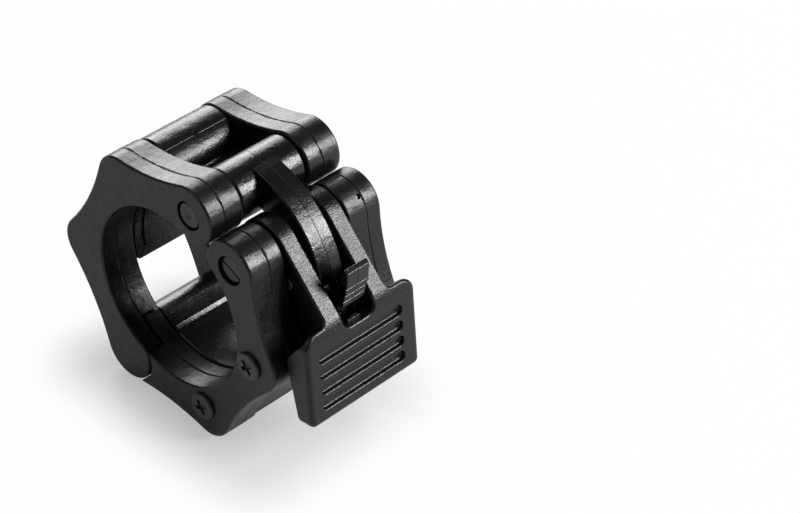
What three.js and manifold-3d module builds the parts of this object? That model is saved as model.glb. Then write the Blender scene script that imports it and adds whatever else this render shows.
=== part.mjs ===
// Barbell collar: two jaws on a hinge, drawn shut round a bar sleeve by a swing lever and a toggle link.
// Millimetres, +Z up. The bar sleeve runs along Y and the face with the pin ends looks to -Y.
// The design frame has its origin on the sleeve axis, halfway through the depth.

import * as THREE from "three";
import { mergeVertices } from "three/addons/utils/BufferGeometryUtils.js";
import Module from "manifold-3d";

const wasm = await Module();
wasm.setup();

const degrees = THREE.MathUtils.degToRad;
const turn = 2 * Math.PI;

// Driving dimensions, the stack along the bar
const boreRadius = 25;
const plateDepth = 10.8;
const middleDepth = 21.6;
const faceFillet = 0.9;

// Clearances
const sideGap = 0.3;
const pinGap = 0.3;
const seatGap = 0.1;
const cutOverrun = 1;

// Jaw outline: heights are above the bore, angles are from the mouth towards the hinge
const mouthAngle = degrees(60);
const pinHeight = 7;
const mouthGap = 0.36;
const pivotLobeOverhang = 1.1;
const lobeOneAngle = degrees(64);
const lobeOneHeight = 13.8;
const lobeOneCorner = 8;
const lobeTwoAngle = degrees(123.5);
const lobeTwoHeight = 14.35;
const lobeTwoCorner = 7.5;
const hingeLobeOverhang = 1.3;
const valleyHeights = [10.3, 8.35, 9.5];

// Lap hinge
const lapLeafDepth = 4.9;
const lapGap = 1;
const hingeClearance = 0.55;
const hingePinRadius = 2.6;
const hingePinEndWall = 1.2;
const hingeSleeveOverhang = 0.45;

// Pins with heads
const pinShankRadius = 2.7;
const pinHeadRadius = 3.4;
const pinHeadDepth = 2.6;
const pinHeadRecess = 0.15;
const pinEdgeChamfer = 0.35;
const rivetDimpleRadius = 1.9;
const rivetDimpleDepth = 0.9;
const driverSlotWidth = 1;
const driverSlotDepth = 0.9;

// Screws
const screwHeadRadius = 3.8;
const screwHeadHeight = 1;
const screwShankRadius = 1.7;
const screwGrip = 9;
const screwTipLength = 1.5;
const screwRecessWidth = 1;
const screwRecessSpan = 4.2;
const screwRecessDepth = 0.75;
const upperScrewAngle = degrees(65.3);
const upperScrewHeight = 5;
const lowerScrewAngle = degrees(124.3);
const lowerScrewHeight = 5.25;

// Clasp jaw body
const claspWall = 4.5;
const claspInset = 0.4;
const middleFillet = 0.7;
const claspBlendRadius = 3;
const hubClearance = 0.5;
const claspEndClearance = 0.2;

// Back jaw saddle
const saddleWall = 4;
const saddleEndAngle = degrees(136.5);
const saddleStartAngle = degrees(24);
const saddleEndMargin = degrees(2.5);
const saddleBarrelHeight = 5.9;
const saddleBarrelRadius = 7.6;
const saddlePostHeight = 6.85;
const saddlePostRadius = 5.5;
const saddleBlendRadius = 1.5;
const saddlePegRadius = 2.5;
const saddlePegLength = 4;
const barrelClearance = 1.6;
const reliefWidth = 2.4;
const reliefDepth = 0.6;
const reliefStartAngle = degrees(70);
const reliefEndAngle = degrees(132);

// Toggle linkage
const toggleReach = 9.7;
const overCentreAngle = degrees(4);
const togglePinRadius = 1.8;
const togglePinProud = 0.15;
const linkBarrelOverhang = 0.4;
const linkBarrelPlay = 1.5;
const linkEyeRadius = 5;
const linkOuterRadius = 28.7;
const linkThickness = 4.8;
const linkArmWidth = 7.6;
const linkFillet = 0.6;

// Lever
const leverHubOverhang = 1.3;
const leverWidth = 20.4;
const leverSlotWidth = 10.4;
const leverSlotCorner = 2.5;
const leverSlotDrop = 3;
const leverFillet = 0.8;
const tabRunGap = 1.616;
const leverArmAngle = degrees(-44.6);
const leverBendRadius = 4.5;
const cheekToeGap = 1.4;
const cheekToeAngle = degrees(25);
const cheekSink = 0.5;

// Paddle at the end of the lever, along its outer face from the bend
const paddleWidth = 37.2;
const paddleAngle = degrees(-83.5);
const paddleReach = 25.7;
const paddleShoulderRise = 1;
const paddleCorner = 4.5;
const paddleFootCorner = 2.2;
const paddleFillet = 1.6;
const paddleTipThickness = 5.2;
const paddleHeelThickness = 7.9;
const paddleHeelDrop = 7.85;
const paddleHeelCorner = 1;
const paddleNeckThickness = 2.3;
const paddleNeckDrop = 1.9;
const grooveCount = 4;
const groovePitch = 4.6;
const grooveWidth = 2.9;
const grooveLength = 28.3;
const grooveDepth = 1;
const grooveFirstDrop = 7;

// Release tab, its pivot measured from the bend along and square to the paddle face
const latchPinDrop = 1.7;
const latchPinDepth = 7.25;
const latchPinRadius = 1.3;
const latchPinSeatDepth = 2.5;
const tabWidth = 7.3;
const tabBossRadius = 3;
const tabEarWidth = 1.6;
const tabFaceReach = 4.9;
const tabHeight = 14;
const tabTopThickness = 2.2;
const tabTopRise = 0.8;
const tabTopCorner = 0.55;
const tabFootHeight = 2.3;
const tabRootThickness = 4.6;
const tabRibCount = 3;
const tabRibPitch = 2.2;
const tabRibDepth = 0.55;
const tabFillet = 0.4;
const hookReach = 4.7;
const hookThickness = 2.4;
const hookFootReach = 2.4;
const hookFootThickness = 1.6;
const hookAngle = degrees(214);
const hookPocketGap = 0.7;

// Keeper nose on the clasp jaw body that the hook catches behind
const keeperWidth = 8;
const keeperGap = 0.3;
const keeperRunGap = 0.2;
const keeperNoseDepth = 1.5;
const keeperNoseReach = 1;
const keeperStemWidth = 2;
const keeperNoseBevel = 1;

// Torsion spring round the latch pin
const springWire = 0.6;
const springStartAngle = degrees(200);
const springTurns = 2 + 45 / 360;
const springPitch = 1.05;
const springPlay = 0.35;
const springLegLength = 2;
const springLegShares = [1, 0.5];

// Facets
const facetAngle = degrees(12);
const boreSides = 60;
const filletSteps = 2;
const rodSides = 24;
const roomSides = 48;
const wireSides = 6;
const wireStepsPerTurn = 12;
const weldDistance = 1e-4;
const sharpTurn = degrees(30);
const filletRoomShare = 1.4;

// Derived places along the bar
const bodyDepth = 2 * plateDepth + middleDepth;
const halfBody = bodyDepth / 2;
const halfMiddle = middleDepth / 2;
const middleHalfWidth = halfMiddle - sideGap;
const hingePinEnd = halfBody - hingePinEndWall - pinGap;
const togglePinEnd = leverWidth / 2 + togglePinProud;
const latchPinEnd = leverSlotWidth / 2 + latchPinSeatDepth;

// Derived circles in a jaw's own frame, whose x axis runs through the mouth
const origin = new THREE.Vector2(0, 0);
const pinCircleRadius = boreRadius + pinHeight;
const pivotLobeRadius = pinHeight + pivotLobeOverhang;
const hingeLobeRadius = pinHeight + hingeLobeOverhang;
const pivotAngle = Math.asin((pivotLobeRadius + mouthGap / 2) / pinCircleRadius);
const hingeAngle = Math.PI;
const leverHubRadius = pinHeight + leverHubOverhang;
const linkBarrelRadius = pinHeight + linkBarrelOverhang;
const lobeOneRho = boreRadius + lobeOneHeight - lobeOneCorner;
const lobeTwoRho = boreRadius + lobeTwoHeight - lobeTwoCorner;

const polar = (radius, angle) => new THREE.Vector2(radius * Math.cos(angle), radius * Math.sin(angle));
const circleAt = (rho, angle, radius) => ({ centre: polar(rho, angle), radius });
const jawCircles = [
  circleAt(pinCircleRadius, pivotAngle, pivotLobeRadius),
  circleAt(lobeOneRho, lobeOneAngle, lobeOneCorner),
  circleAt(lobeTwoRho, lobeTwoAngle, lobeTwoCorner),
  circleAt(pinCircleRadius, hingeAngle, hingeLobeRadius),
];

// A jaw turns its own frame by the mouth angle. The clasp jaw is also mirrored across the mouth axis.
const backSide = 1;
const claspSide = -1;
const placed = (point, side) => new THREE.Vector2(point.x, side * point.y).rotateAround(origin, mouthAngle);
const linkPinCentre = placed(jawCircles[0].centre, backSide);
const leverPinCentre = placed(jawCircles[0].centre, claspSide);
const hingeCentre = placed(jawCircles[3].centre, backSide);
const togglePinCentre = polar(toggleReach, mouthAngle - Math.PI / 2 - overCentreAngle).add(leverPinCentre);

// The arms reach far enough past the link's eye for the release tab to turn between eye and paddle.
const eyeDrop = toggleReach * Math.cos(leverArmAngle - (mouthAngle - Math.PI / 2 - overCentreAngle));
const leverArmLength = eyeDrop + linkEyeRadius + tabRunGap + tabBossRadius + tabRootThickness;

// The lever's outer face leaves the hub along a tangent and bends into the paddle's face.
const leverBend = polar(leverHubRadius, leverArmAngle + Math.PI / 2)
  .add(polar(leverArmLength, leverArmAngle))
  .add(leverPinCentre);
const onPaddle = (drop, out) =>
  polar(drop, paddleAngle).add(polar(out, paddleAngle + Math.PI / 2)).add(leverBend);
const latchPinCentre = onPaddle(latchPinDrop, -latchPinDepth);
const shrunk = (circle, inset) => ({ centre: circle.centre, radius: circle.radius - inset });

// Plane geometry

// Point where two circles cross, to the right of the way from the first to the second.
function crossing(first, second) {
  const span = second.centre.clone().sub(first.centre);
  const distance = span.length();
  const along = (first.radius ** 2 - second.radius ** 2 + distance ** 2) / (2 * distance);
  const aside = Math.sqrt(first.radius ** 2 - along ** 2);
  const rightwards = new THREE.Vector2(span.y, -span.x).divideScalar(distance);
  return first.centre.clone().addScaledVector(span, along / distance).addScaledVector(rightwards, aside);
}

// Points on an arc about a centre, from one point towards another, way 1 for counter-clockwise.
function sweep(circle, start, end, way) {
  const from = Math.atan2(start.y - circle.centre.y, start.x - circle.centre.x);
  const to = Math.atan2(end.y - circle.centre.y, end.x - circle.centre.x);
  const angle = THREE.MathUtils.euclideanModulo(way * (to - from), turn);
  const steps = Math.max(2, Math.ceil(angle / facetAngle));
  return Array.from({ length: steps }, (_, i) =>
    polar(circle.radius, from + (way * angle * i) / steps).add(circle.centre),
  );
}

// Concave circle that touches two circles from outside, at a given radius.
function bridge(first, second, radius) {
  const grown = [first, second].map((c) => ({ centre: c.centre, radius: c.radius + radius }));
  return { centre: crossing(grown[0], grown[1]), radius };
}

// The same, with the radius that brings its lowest point to a given height above the bore. Its centre lies
// at start + rate * radius, which leaves a quadratic in the radius for the third tangent circle.
function valley(first, second, height) {
  const floor = boreRadius + height;
  const rows = [first, second].map(({ centre, radius }) => ({
    x: 2 * centre.x,
    y: 2 * centre.y,
    fixed: centre.lengthSq() - radius ** 2 + floor ** 2,
    slope: 2 * (floor - radius),
  }));
  const spread = rows[0].x * rows[1].y - rows[0].y * rows[1].x;
  const solved = (key) => new THREE.Vector2(
    (rows[0][key] * rows[1].y - rows[0].y * rows[1][key]) / spread,
    (rows[0].x * rows[1][key] - rows[0][key] * rows[1].x) / spread,
  );
  const start = solved("fixed");
  const rate = solved("slope");
  const square = rate.lengthSq() - 1;
  const half = start.dot(rate) - floor;
  const root = Math.sqrt(half ** 2 - square * (start.lengthSq() - floor ** 2));
  const radii = [(-half - root) / square, (-half + root) / square].filter((radius) => radius > 0);
  return bridge(first, second, Math.min(...radii));
}

// Outer outline over circles joined by bridges, from a start point to an end point, drawn in by an inset.
function chain(circles, bridges, start, end, inset = 0) {
  const points = [];
  circles.forEach((circle, i) => {
    const small = shrunk(circle, inset);
    const touch = (other) => other.centre.clone().sub(small.centre).setLength(small.radius).add(small.centre);
    const from = i === 0 ? start : touch(bridges[i - 1]);
    const to = i === circles.length - 1 ? end : touch(bridges[i]);
    points.push(...sweep(small, from, to, 1));
    if (i === circles.length - 1) return;
    const next = shrunk(circles[i + 1], inset);
    const hollow = shrunk(bridges[i], -inset);
    const landing = hollow.centre.clone().sub(next.centre).setLength(next.radius).add(next.centre);
    points.push(...sweep(hollow, to, landing, -1));
  });
  points.push(end.clone());
  return points;
}

// Point on the bore circle where a lobe's circle crosses it, side 1 towards the hinge, -1 towards the mouth.
function boreCrossing(rho, angle, radius, side) {
  const share = (rho ** 2 + boreRadius ** 2 - radius ** 2) / (2 * rho * boreRadius);
  return polar(boreRadius, angle + side * Math.acos(share));
}

// A closed outline with each corner rounded by its own radius.
function rounded(corners) {
  const count = corners.length;
  return corners.flatMap(([point, radius], i) => {
    if (!radius) return [point.clone()];
    const before = corners[(i + count - 1) % count][0].clone().sub(point).normalize();
    const after = corners[(i + 1) % count][0].clone().sub(point).normalize();
    const half = Math.acos(THREE.MathUtils.clamp(before.dot(after), -1, 1)) / 2;
    const centre = before.clone().add(after).setLength(radius / Math.sin(half)).add(point);
    const start = point.clone().addScaledVector(before, radius / Math.tan(half));
    const end = point.clone().addScaledVector(after, radius / Math.tan(half));
    const way = Math.sign(before.x * after.y - before.y * after.x) * -1;
    return [...sweep({ centre, radius }, start, end, way), end];
  });
}

// Solids

function solidFrom(geometry) {
  geometry.deleteAttribute("normal");
  geometry.deleteAttribute("uv");
  const merged = mergeVertices(geometry, weldDistance);
  return new wasm.Manifold(
    new wasm.Mesh({
      numProp: 3,
      vertProperties: merged.attributes.position.array,
      triVerts: new Uint32Array(merged.index.array),
    }),
  );
}

// The outline without the points that lie too close to a sharp corner for the face fillet to pass between.
function clearOfCorners(points, fillet) {
  const count = points.length;
  const at = (i) => points[(i + count) % count];
  const isSharp = points.map((point, i) => {
    const before = point.clone().sub(at(i - 1));
    const after = at(i + 1).clone().sub(point);
    return before.dot(after) < Math.cos(sharpTurn) * before.length() * after.length();
  });
  const sharp = points.filter((_, i) => isSharp[i]);
  return points.filter((point, i) =>
    isSharp[i] || sharp.every((corner) => corner.distanceTo(point) > fillet * filletRoomShare),
  );
}

// Prism of an outline drawn in x and z, between two places along y, with its face edges rounded.
function slab(points, front, back, fillet = 0, steps = 1) {
  const geometry = new THREE.ExtrudeGeometry(new THREE.Shape(clearOfCorners(points, fillet)), {
    depth: back - front - 2 * fillet,
    bevelEnabled: fillet > 0,
    bevelThickness: fillet,
    bevelSize: fillet,
    bevelOffset: -fillet,
    bevelSegments: steps,
  });
  return solidFrom(geometry.rotateX(Math.PI / 2).translate(0, back - fillet, 0));
}

// Round bar along y.
function rod(centre, radius, front, back, sides = rodSides) {
  const geometry = new THREE.CylinderGeometry(radius, radius, back - front, sides);
  return solidFrom(geometry.translate(centre.x, (front + back) / 2, centre.y));
}

// Turned piece about an axis along y: profile points are (radius, y).
function turned(profile, centre) {
  const points = profile.map(([radius, y]) => new THREE.Vector2(radius, y));
  return solidFrom(new THREE.LatheGeometry(points, rodSides).translate(centre.x, 0, centre.y));
}

const boreCut = rod(origin, boreRadius, -bodyDepth, bodyDepth, boreSides);
const joined = (first, ...others) => others.reduce((sum, other) => sum.add(other), first);
const cut = (first, ...others) => others.reduce((rest, other) => rest.subtract(other), first);

// Both plates of a jaw share one outline.
const jawBridges = valleyHeights.map((height, i) => valley(jawCircles[i], jawCircles[i + 1], height));
const boreCircle = { centre: origin, radius: boreRadius };

function jawOutline(side) {
  const start = boreCrossing(pinCircleRadius, pivotAngle, pivotLobeRadius, -1);
  const end = boreCrossing(pinCircleRadius, hingeAngle, hingeLobeRadius, 1);
  const outer = chain(jawCircles, jawBridges, start, end);
  return [...outer, ...sweep(boreCircle, end, start, -1).slice(1)].map((point) => placed(point, side));
}

// Hole for a headed pin through a plate, with its counterbore in the outer face.
function headedPinHole(centre, front, outerFace) {
  const shank = rod(centre, pinShankRadius + pinGap, front - cutOverrun, front + plateDepth + cutOverrun);
  const seatDepth = pinHeadRecess + pinHeadDepth + pinGap;
  const inwards = outerFace < 0 ? 1 : -1;
  const ends = [outerFace - inwards * cutOverrun, outerFace + inwards * seatDepth].sort((a, b) => a - b);
  return shank.add(rod(centre, pinHeadRadius + pinGap, ends[0], ends[1]));
}

const screwCentres = {
  upper: placed(polar(boreRadius + upperScrewHeight, upperScrewAngle), claspSide),
  lower: placed(polar(boreRadius + lowerScrewHeight, lowerScrewAngle), claspSide),
};
const saddleBarrelCentre = placed(polar(boreRadius + saddleBarrelHeight, lobeOneAngle), backSide);
const saddlePostCentre = placed(polar(boreRadius + saddlePostHeight, lobeTwoAngle), backSide);

// The back jaw's hinge leaf is the front layer of each plate, the clasp jaw's tongue is the rear layer.
function plate(side, front) {
  const back = front + plateDepth;
  const outerFace = front < 0 ? front : back;
  const innerFace = front < 0 ? back : front;
  const inwards = front < 0 ? 1 : -1;
  const isBackJaw = side === backSide;
  const lapEdge = isBackJaw ? front + lapLeafDepth : front + lapLeafDepth + lapGap;
  const lapCut = isBackJaw
    ? rod(hingeCentre, hingeLobeRadius + hingeClearance, lapEdge, back + cutOverrun, roomSides)
    : rod(hingeCentre, hingeLobeRadius + hingeClearance, front - cutOverrun, lapEdge, roomSides);
  const pinHole = rod(
    hingeCentre,
    hingePinRadius + pinGap,
    Math.max(front - cutOverrun, -halfBody + hingePinEndWall),
    Math.min(back + cutOverrun, halfBody - hingePinEndWall),
  );
  const holes = [lapCut, pinHole];
  holes.push(headedPinHole(isBackJaw ? linkPinCentre : leverPinCentre, front, outerFace));
  if (isBackJaw) {
    for (const centre of [saddleBarrelCentre, saddlePostCentre]) {
      const ends = [innerFace + inwards * cutOverrun, innerFace - inwards * (saddlePegLength + sideGap)];
      ends.sort((a, b) => a - b);
      holes.push(rod(centre, saddlePegRadius + pinGap, ends[0], ends[1]));
    }
  } else {
    for (const centre of Object.values(screwCentres)) {
      holes.push(rod(centre, screwShankRadius + pinGap, front - cutOverrun, back + cutOverrun));
    }
  }
  return cut(slab(jawOutline(side), front, back, faceFillet, filletSteps), ...holes);
}

// Short solids of a full circle, with rounded edges.
function disc(centre, radius, front, back, fillet) {
  const circle = { centre, radius };
  const east = polar(radius, 0).add(centre);
  const west = polar(radius, Math.PI).add(centre);
  return slab([...sweep(circle, east, west, 1), ...sweep(circle, west, east, 1)], front, back, fillet);
}

function saddle() {
  const wallCircle = { centre: origin, radius: boreRadius + saddleWall };
  const circles = [
    wallCircle,
    circleAt(boreRadius + saddleBarrelHeight, lobeOneAngle, saddleBarrelRadius),
    wallCircle,
    circleAt(boreRadius + saddlePostHeight, lobeTwoAngle, saddlePostRadius),
    wallCircle,
  ];
  const bridges = circles.slice(1).map((circle, i) => bridge(circles[i], circle, saddleBlendRadius));
  const endAngle = Math.max(saddleEndAngle, bridges[3].centre.angle() + saddleEndMargin);
  const outer = chain(
    circles,
    bridges,
    polar(wallCircle.radius, saddleStartAngle),
    polar(wallCircle.radius, endAngle),
  );
  const inner = sweep(boreCircle, polar(boreRadius, endAngle), polar(boreRadius, saddleStartAngle), -1);
  const points = [...outer, ...inner, polar(boreRadius, saddleStartAngle)];
  const web = slab(points.map((p) => placed(p, backSide)), -middleHalfWidth, middleHalfWidth, middleFillet);
  const pegs = [saddleBarrelCentre, saddlePostCentre].map((centre) =>
    rod(centre, saddlePegRadius, -halfMiddle - saddlePegLength, halfMiddle + saddlePegLength),
  );
  const barrelRoom = rod(linkPinCentre, linkBarrelRadius + barrelClearance, -halfBody, halfBody, roomSides);
  return cut(joined(web, ...pegs), barrelRoom, saddleRelief(-1), saddleRelief(1));
}

// Shallow channel in the saddle's bore face, beside its front or rear edge.
function saddleRelief(end) {
  const deep = { centre: origin, radius: boreRadius + reliefDepth };
  const open = { centre: origin, radius: boreRadius - cutOverrun };
  const corner = (circle, angle) => polar(circle.radius, angle);
  const points = [
    ...sweep(deep, corner(deep, reliefStartAngle), corner(deep, reliefEndAngle), 1),
    corner(deep, reliefEndAngle),
    ...sweep(open, corner(open, reliefEndAngle), corner(open, reliefStartAngle), -1),
    corner(open, reliefStartAngle),
  ].map((point) => placed(point, backSide));
  const near = middleHalfWidth - middleFillet - reliefWidth;
  return end < 0 ? slab(points, -near - reliefWidth, -near) : slab(points, near, near + reliefWidth);
}

// Clasp jaw body: a thin wall beside the lever, then the full lobes, with the keeper nose for the hook.
function claspBody() {
  const wallCircle = { centre: origin, radius: boreRadius + claspWall };
  const circles = [wallCircle, ...jawCircles.slice(1)];
  const wallBridge = bridge(shrunk(wallCircle, -claspInset), circles[1], claspBlendRadius);
  const bridges = [wallBridge, ...jawBridges.slice(1)];
  const lastRadius = hingeLobeRadius - claspInset;
  const end = boreCrossing(pinCircleRadius, hingeAngle, lastRadius, 1);
  const outer = chain(
    [shrunk(wallCircle, -claspInset), ...circles.slice(1)],
    bridges,
    polar(wallCircle.radius, pivotAngle),
    end,
    claspInset,
  );
  const inner = sweep(boreCircle, end, polar(boreRadius, pivotAngle), -1).slice(1);
  const points = [...outer, ...inner, polar(boreRadius, pivotAngle)];
  const body = slab(points.map((p) => placed(p, claspSide)), -middleHalfWidth, middleHalfWidth, middleFillet);
  const hubRoom = rod(leverPinCentre, leverHubRadius + hubClearance, -halfBody, halfBody, roomSides);
  const hingeRoom = rod(hingeCentre, lastRadius + claspEndClearance, -halfBody, halfBody, roomSides);
  const screwRoom = screwGrip + screwTipLength + pinGap;
  const screwHoles = Object.values(screwCentres).flatMap((centre) => [
    rod(centre, screwShankRadius + pinGap, -halfMiddle, -halfMiddle + screwRoom),
    rod(centre, screwShankRadius + pinGap, halfMiddle - screwRoom, halfMiddle),
  ]);
  const pocketRadius = hookReach + hookFootThickness + hookPocketGap;
  const pocket = rod(latchPinCentre, pocketRadius, -keeperWidth / 2 - keeperGap, keeperWidth / 2 + keeperGap);
  return cut(joined(cut(body, pocket), keeper()), hubRoom, hingeRoom, ...screwHoles, boreCut);
}

// Place in the hook's own axes: along the hook from the latch pin, then square to it towards the mouth.
const byHook = (along, aside) =>
  polar(along, hookAngle).add(polar(aside, hookAngle - Math.PI / 2)).add(latchPinCentre);

function keeper() {
  const noseAside = hookFootReach + keeperRunGap;
  const stemNear = noseAside + keeperNoseReach;
  const stemFar = stemNear + keeperStemWidth;
  const noseInner = hookReach - keeperGap;
  const noseOuter = noseInner - keeperNoseDepth;
  const root = latchPinCentre.length() - boreRadius + cutOverrun;
  const points = rounded([
    [byHook(noseInner, noseAside), 0],
    [byHook(noseInner - keeperNoseBevel, noseAside), 0],
    [byHook(noseOuter, stemNear), 0],
    [byHook(noseOuter, stemFar), keeperStemWidth / 2],
    [byHook(root, stemFar), 0],
    [byHook(root, stemNear), 0],
    [byHook(noseInner, stemNear), 0],
  ]);
  return slab(points, -keeperWidth / 2, keeperWidth / 2);
}

// Lever: two cheeks with a hub and an arm each, and the paddle across their ends

const armWay = polar(1, leverArmAngle);
const armTop = polar(leverHubRadius, leverArmAngle + Math.PI / 2).add(leverPinCentre);

function leverCheek(front, back) {
  const toe = polar(boreRadius + claspWall + cheekToeGap, cheekToeAngle);
  const hub = { centre: leverPinCentre, radius: leverHubRadius };
  const hubFoot = toe.clone().sub(leverPinCentre).setLength(leverHubRadius).add(leverPinCentre);
  const corners = rounded([
    [armTop, 0],
    [leverBend, leverBendRadius],
    [onPaddle(paddleNeckDrop + cheekSink, -cheekSink), 0],
    [onPaddle(paddleHeelDrop - cheekSink, 2 * cheekSink - paddleHeelThickness), 0],
    [toe, 0],
  ]);
  return slab([...corners, ...sweep(hub, hubFoot, armTop, -1)], front, back, leverFillet, filletSteps);
}

// Prism of an outline drawn on the paddle's face (y across, drop down the face), between two depths under it.
function facePrism(corners, under, over, fillet = 0) {
  const shape = new THREE.Shape(corners.map((point) => new THREE.Vector2(point.x, -point.y)));
  const geometry = new THREE.ExtrudeGeometry(shape, {
    depth: over - under - 2 * fillet,
    bevelEnabled: fillet > 0,
    bevelThickness: fillet,
    bevelSize: fillet,
    bevelOffset: -fillet,
    bevelSegments: filletSteps,
  });
  const down = polar(1, paddleAngle);
  const frame = new THREE.Matrix4().makeBasis(
    new THREE.Vector3(0, 1, 0),
    new THREE.Vector3(-down.x, 0, -down.y),
    new THREE.Vector3(-down.y, 0, down.x),
  );
  frame.setPosition(leverBend.x, 0, leverBend.y);
  return solidFrom(geometry.translate(0, 0, under + fillet).applyMatrix4(frame));
}

// Rounded rectangle across the paddle, from one drop to another.
function faceRectangle(width, top, bottom, topCorner, bottomCorner) {
  const half = width / 2;
  return rounded([
    [new THREE.Vector2(-half, top), topCorner],
    [new THREE.Vector2(half, top), topCorner],
    [new THREE.Vector2(half, bottom), bottomCorner],
    [new THREE.Vector2(-half, bottom), bottomCorner],
  ]);
}

function paddle() {
  const face = faceRectangle(paddleWidth, -paddleShoulderRise, paddleReach, paddleCorner, paddleFootCorner);
  const depth = paddleHeelThickness + paddleFillet + cutOverrun;
  const front = facePrism(face, -depth, 0, paddleFillet);
  const side = rounded([
    [onPaddle(-paddleShoulderRise - cutOverrun, cutOverrun), 0],
    [onPaddle(paddleReach + cutOverrun, cutOverrun), 0],
    [onPaddle(paddleReach + cutOverrun, -paddleTipThickness), 0],
    [onPaddle(paddleHeelDrop, -paddleHeelThickness), paddleHeelCorner],
    [onPaddle(paddleNeckDrop, -paddleNeckThickness), 0],
    [onPaddle(-paddleShoulderRise - cutOverrun, -paddleNeckThickness), 0],
  ]);
  const wedge = slab(side, -paddleWidth, paddleWidth);
  const notchTop = -paddleShoulderRise - leverSlotCorner - cutOverrun;
  const notch = faceRectangle(leverSlotWidth, notchTop, leverSlotDrop, 0, leverSlotCorner);
  const grooves = Array.from({ length: grooveCount }, (_, i) => {
    const middle = grooveFirstDrop + i * groovePitch;
    const end = grooveWidth / 2 - weldDistance;
    const outline = faceRectangle(grooveLength, middle - grooveWidth / 2, middle + grooveWidth / 2, end, end);
    return facePrism(outline, -grooveDepth, cutOverrun);
  });
  return cut(front.intersect(wedge), facePrism(notch, -depth, cutOverrun), ...grooves);
}

function lever() {
  const outside = leverWidth / 2;
  const inside = leverSlotWidth / 2;
  const whole = joined(leverCheek(-outside, -inside), leverCheek(inside, outside), paddle());
  const seat = latchPinEnd + sideGap;
  return cut(
    whole,
    rod(leverPinCentre, pinShankRadius + pinGap, -halfBody, halfBody),
    rod(togglePinCentre, togglePinRadius + pinGap, -halfBody, halfBody),
    rod(latchPinCentre, latchPinRadius + pinGap, -seat, seat),
    boreCut,
  );
}

// Link from the hollow barrel on the link pin, over the lever pin, to the eye on the toggle pin.
function link() {
  const arc = {
    centre: crossing(
      { centre: linkPinCentre, radius: linkOuterRadius - linkBarrelRadius },
      { centre: togglePinCentre, radius: linkOuterRadius - linkEyeRadius },
    ),
    radius: linkOuterRadius,
  };
  const under = shrunk(arc, linkThickness);
  const onArc = (circle, point) => point.clone().sub(arc.centre).setLength(circle.radius).add(arc.centre);
  const eye = { centre: togglePinCentre, radius: linkEyeRadius };
  const eyeTop = onArc(arc, togglePinCentre);
  const eyeUnder = crossing(eye, under);
  const points = [
    ...sweep(arc, onArc(arc, linkPinCentre), eyeTop, -1),
    ...sweep(eye, eyeTop, eyeUnder, -1),
    ...sweep(under, eyeUnder, onArc(under, linkPinCentre), 1),
    onArc(under, linkPinCentre),
  ];
  const barrel = disc(linkPinCentre, linkBarrelRadius, -middleHalfWidth, middleHalfWidth, middleFillet);
  const arm = slab(points, -linkArmWidth / 2, linkArmWidth / 2, linkFillet);
  return cut(
    joined(barrel, arm),
    rod(linkPinCentre, pinShankRadius + linkBarrelPlay, -halfBody, halfBody),
    rod(togglePinCentre, togglePinRadius + pinGap, -halfBody, halfBody),
    boreCut,
  );
}

// Release tab: two ears on the latch pin, a ribbed thumb face and a hook.
function releaseTab() {
  const half = tabWidth / 2;
  const by = (x, z) => new THREE.Vector2(x, z).add(latchPinCentre);
  const ribTop = tabFootHeight + tabRibCount * tabRibPitch;
  const ribs = Array.from({ length: tabRibCount }, (_, i) => [
    [by(tabFaceReach, ribTop - i * tabRibPitch), 0],
    [by(tabFaceReach - tabRibDepth, ribTop - i * tabRibPitch - tabRibDepth / 2), 0],
  ]).flat();
  const thumb = rounded([
    [by(tabFaceReach - tabTopThickness, tabHeight + tabTopRise), tabTopCorner],
    [by(tabFaceReach, tabHeight), tabTopCorner],
    ...ribs,
    [by(tabFaceReach, tabFootHeight), 0],
    [by(tabBossRadius / 2, -tabBossRadius / 2), 0],
    [by(-tabBossRadius / 2, tabBossRadius / 2), 0],
    [by(tabFaceReach - tabRootThickness, tabBossRadius + tabFootHeight), tabBossRadius],
  ]);
  const hook = [
    byHook(0, hookThickness / 2),
    byHook(hookReach, hookThickness / 2),
    byHook(hookReach, hookFootReach),
    byHook(hookReach + hookFootThickness, hookFootReach),
    byHook(hookReach + hookFootThickness, -hookThickness / 2),
    byHook(0, -hookThickness / 2),
  ];
  const ears = disc(latchPinCentre, tabBossRadius, -half, half, tabFillet);
  return cut(
    joined(ears, slab(thumb, -half, half, tabFillet), slab(hook, -half, half)),
    rod(latchPinCentre, latchPinRadius + pinGap, -halfBody, halfBody),
    rod(latchPinCentre, tabBossRadius + pinGap, tabEarWidth - half, half - tabEarWidth),
  );
}

// Torsion spring: one wire with a straight leg at each end of its coil.
const springRadius = latchPinRadius + springPlay + springWire / 2;

function springPoints() {
  const steps = Math.round(springTurns * wireStepsPerTurn);
  const point = (angle, radius, way = 0) => {
    const spot = polar(radius, angle).add(polar(way, angle + Math.PI / 2)).add(latchPinCentre);
    const along = (angle - springStartAngle) / turn - springTurns / 2;
    return new THREE.Vector3(spot.x, along * springPitch, spot.y);
  };
  const endAngle = springStartAngle + springTurns * turn;
  const coil = Array.from({ length: steps + 1 }, (_, i) =>
    point(springStartAngle + ((endAngle - springStartAngle) * i) / steps, springRadius),
  );
  const legs = springLegShares.map((share) => share * springLegLength);
  const lead = legs.map((leg) => point(springStartAngle, springRadius, -leg));
  const tail = legs.map((leg) => point(endAngle, springRadius, leg)).reverse();
  return [...lead, ...coil, ...tail];
}

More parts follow.
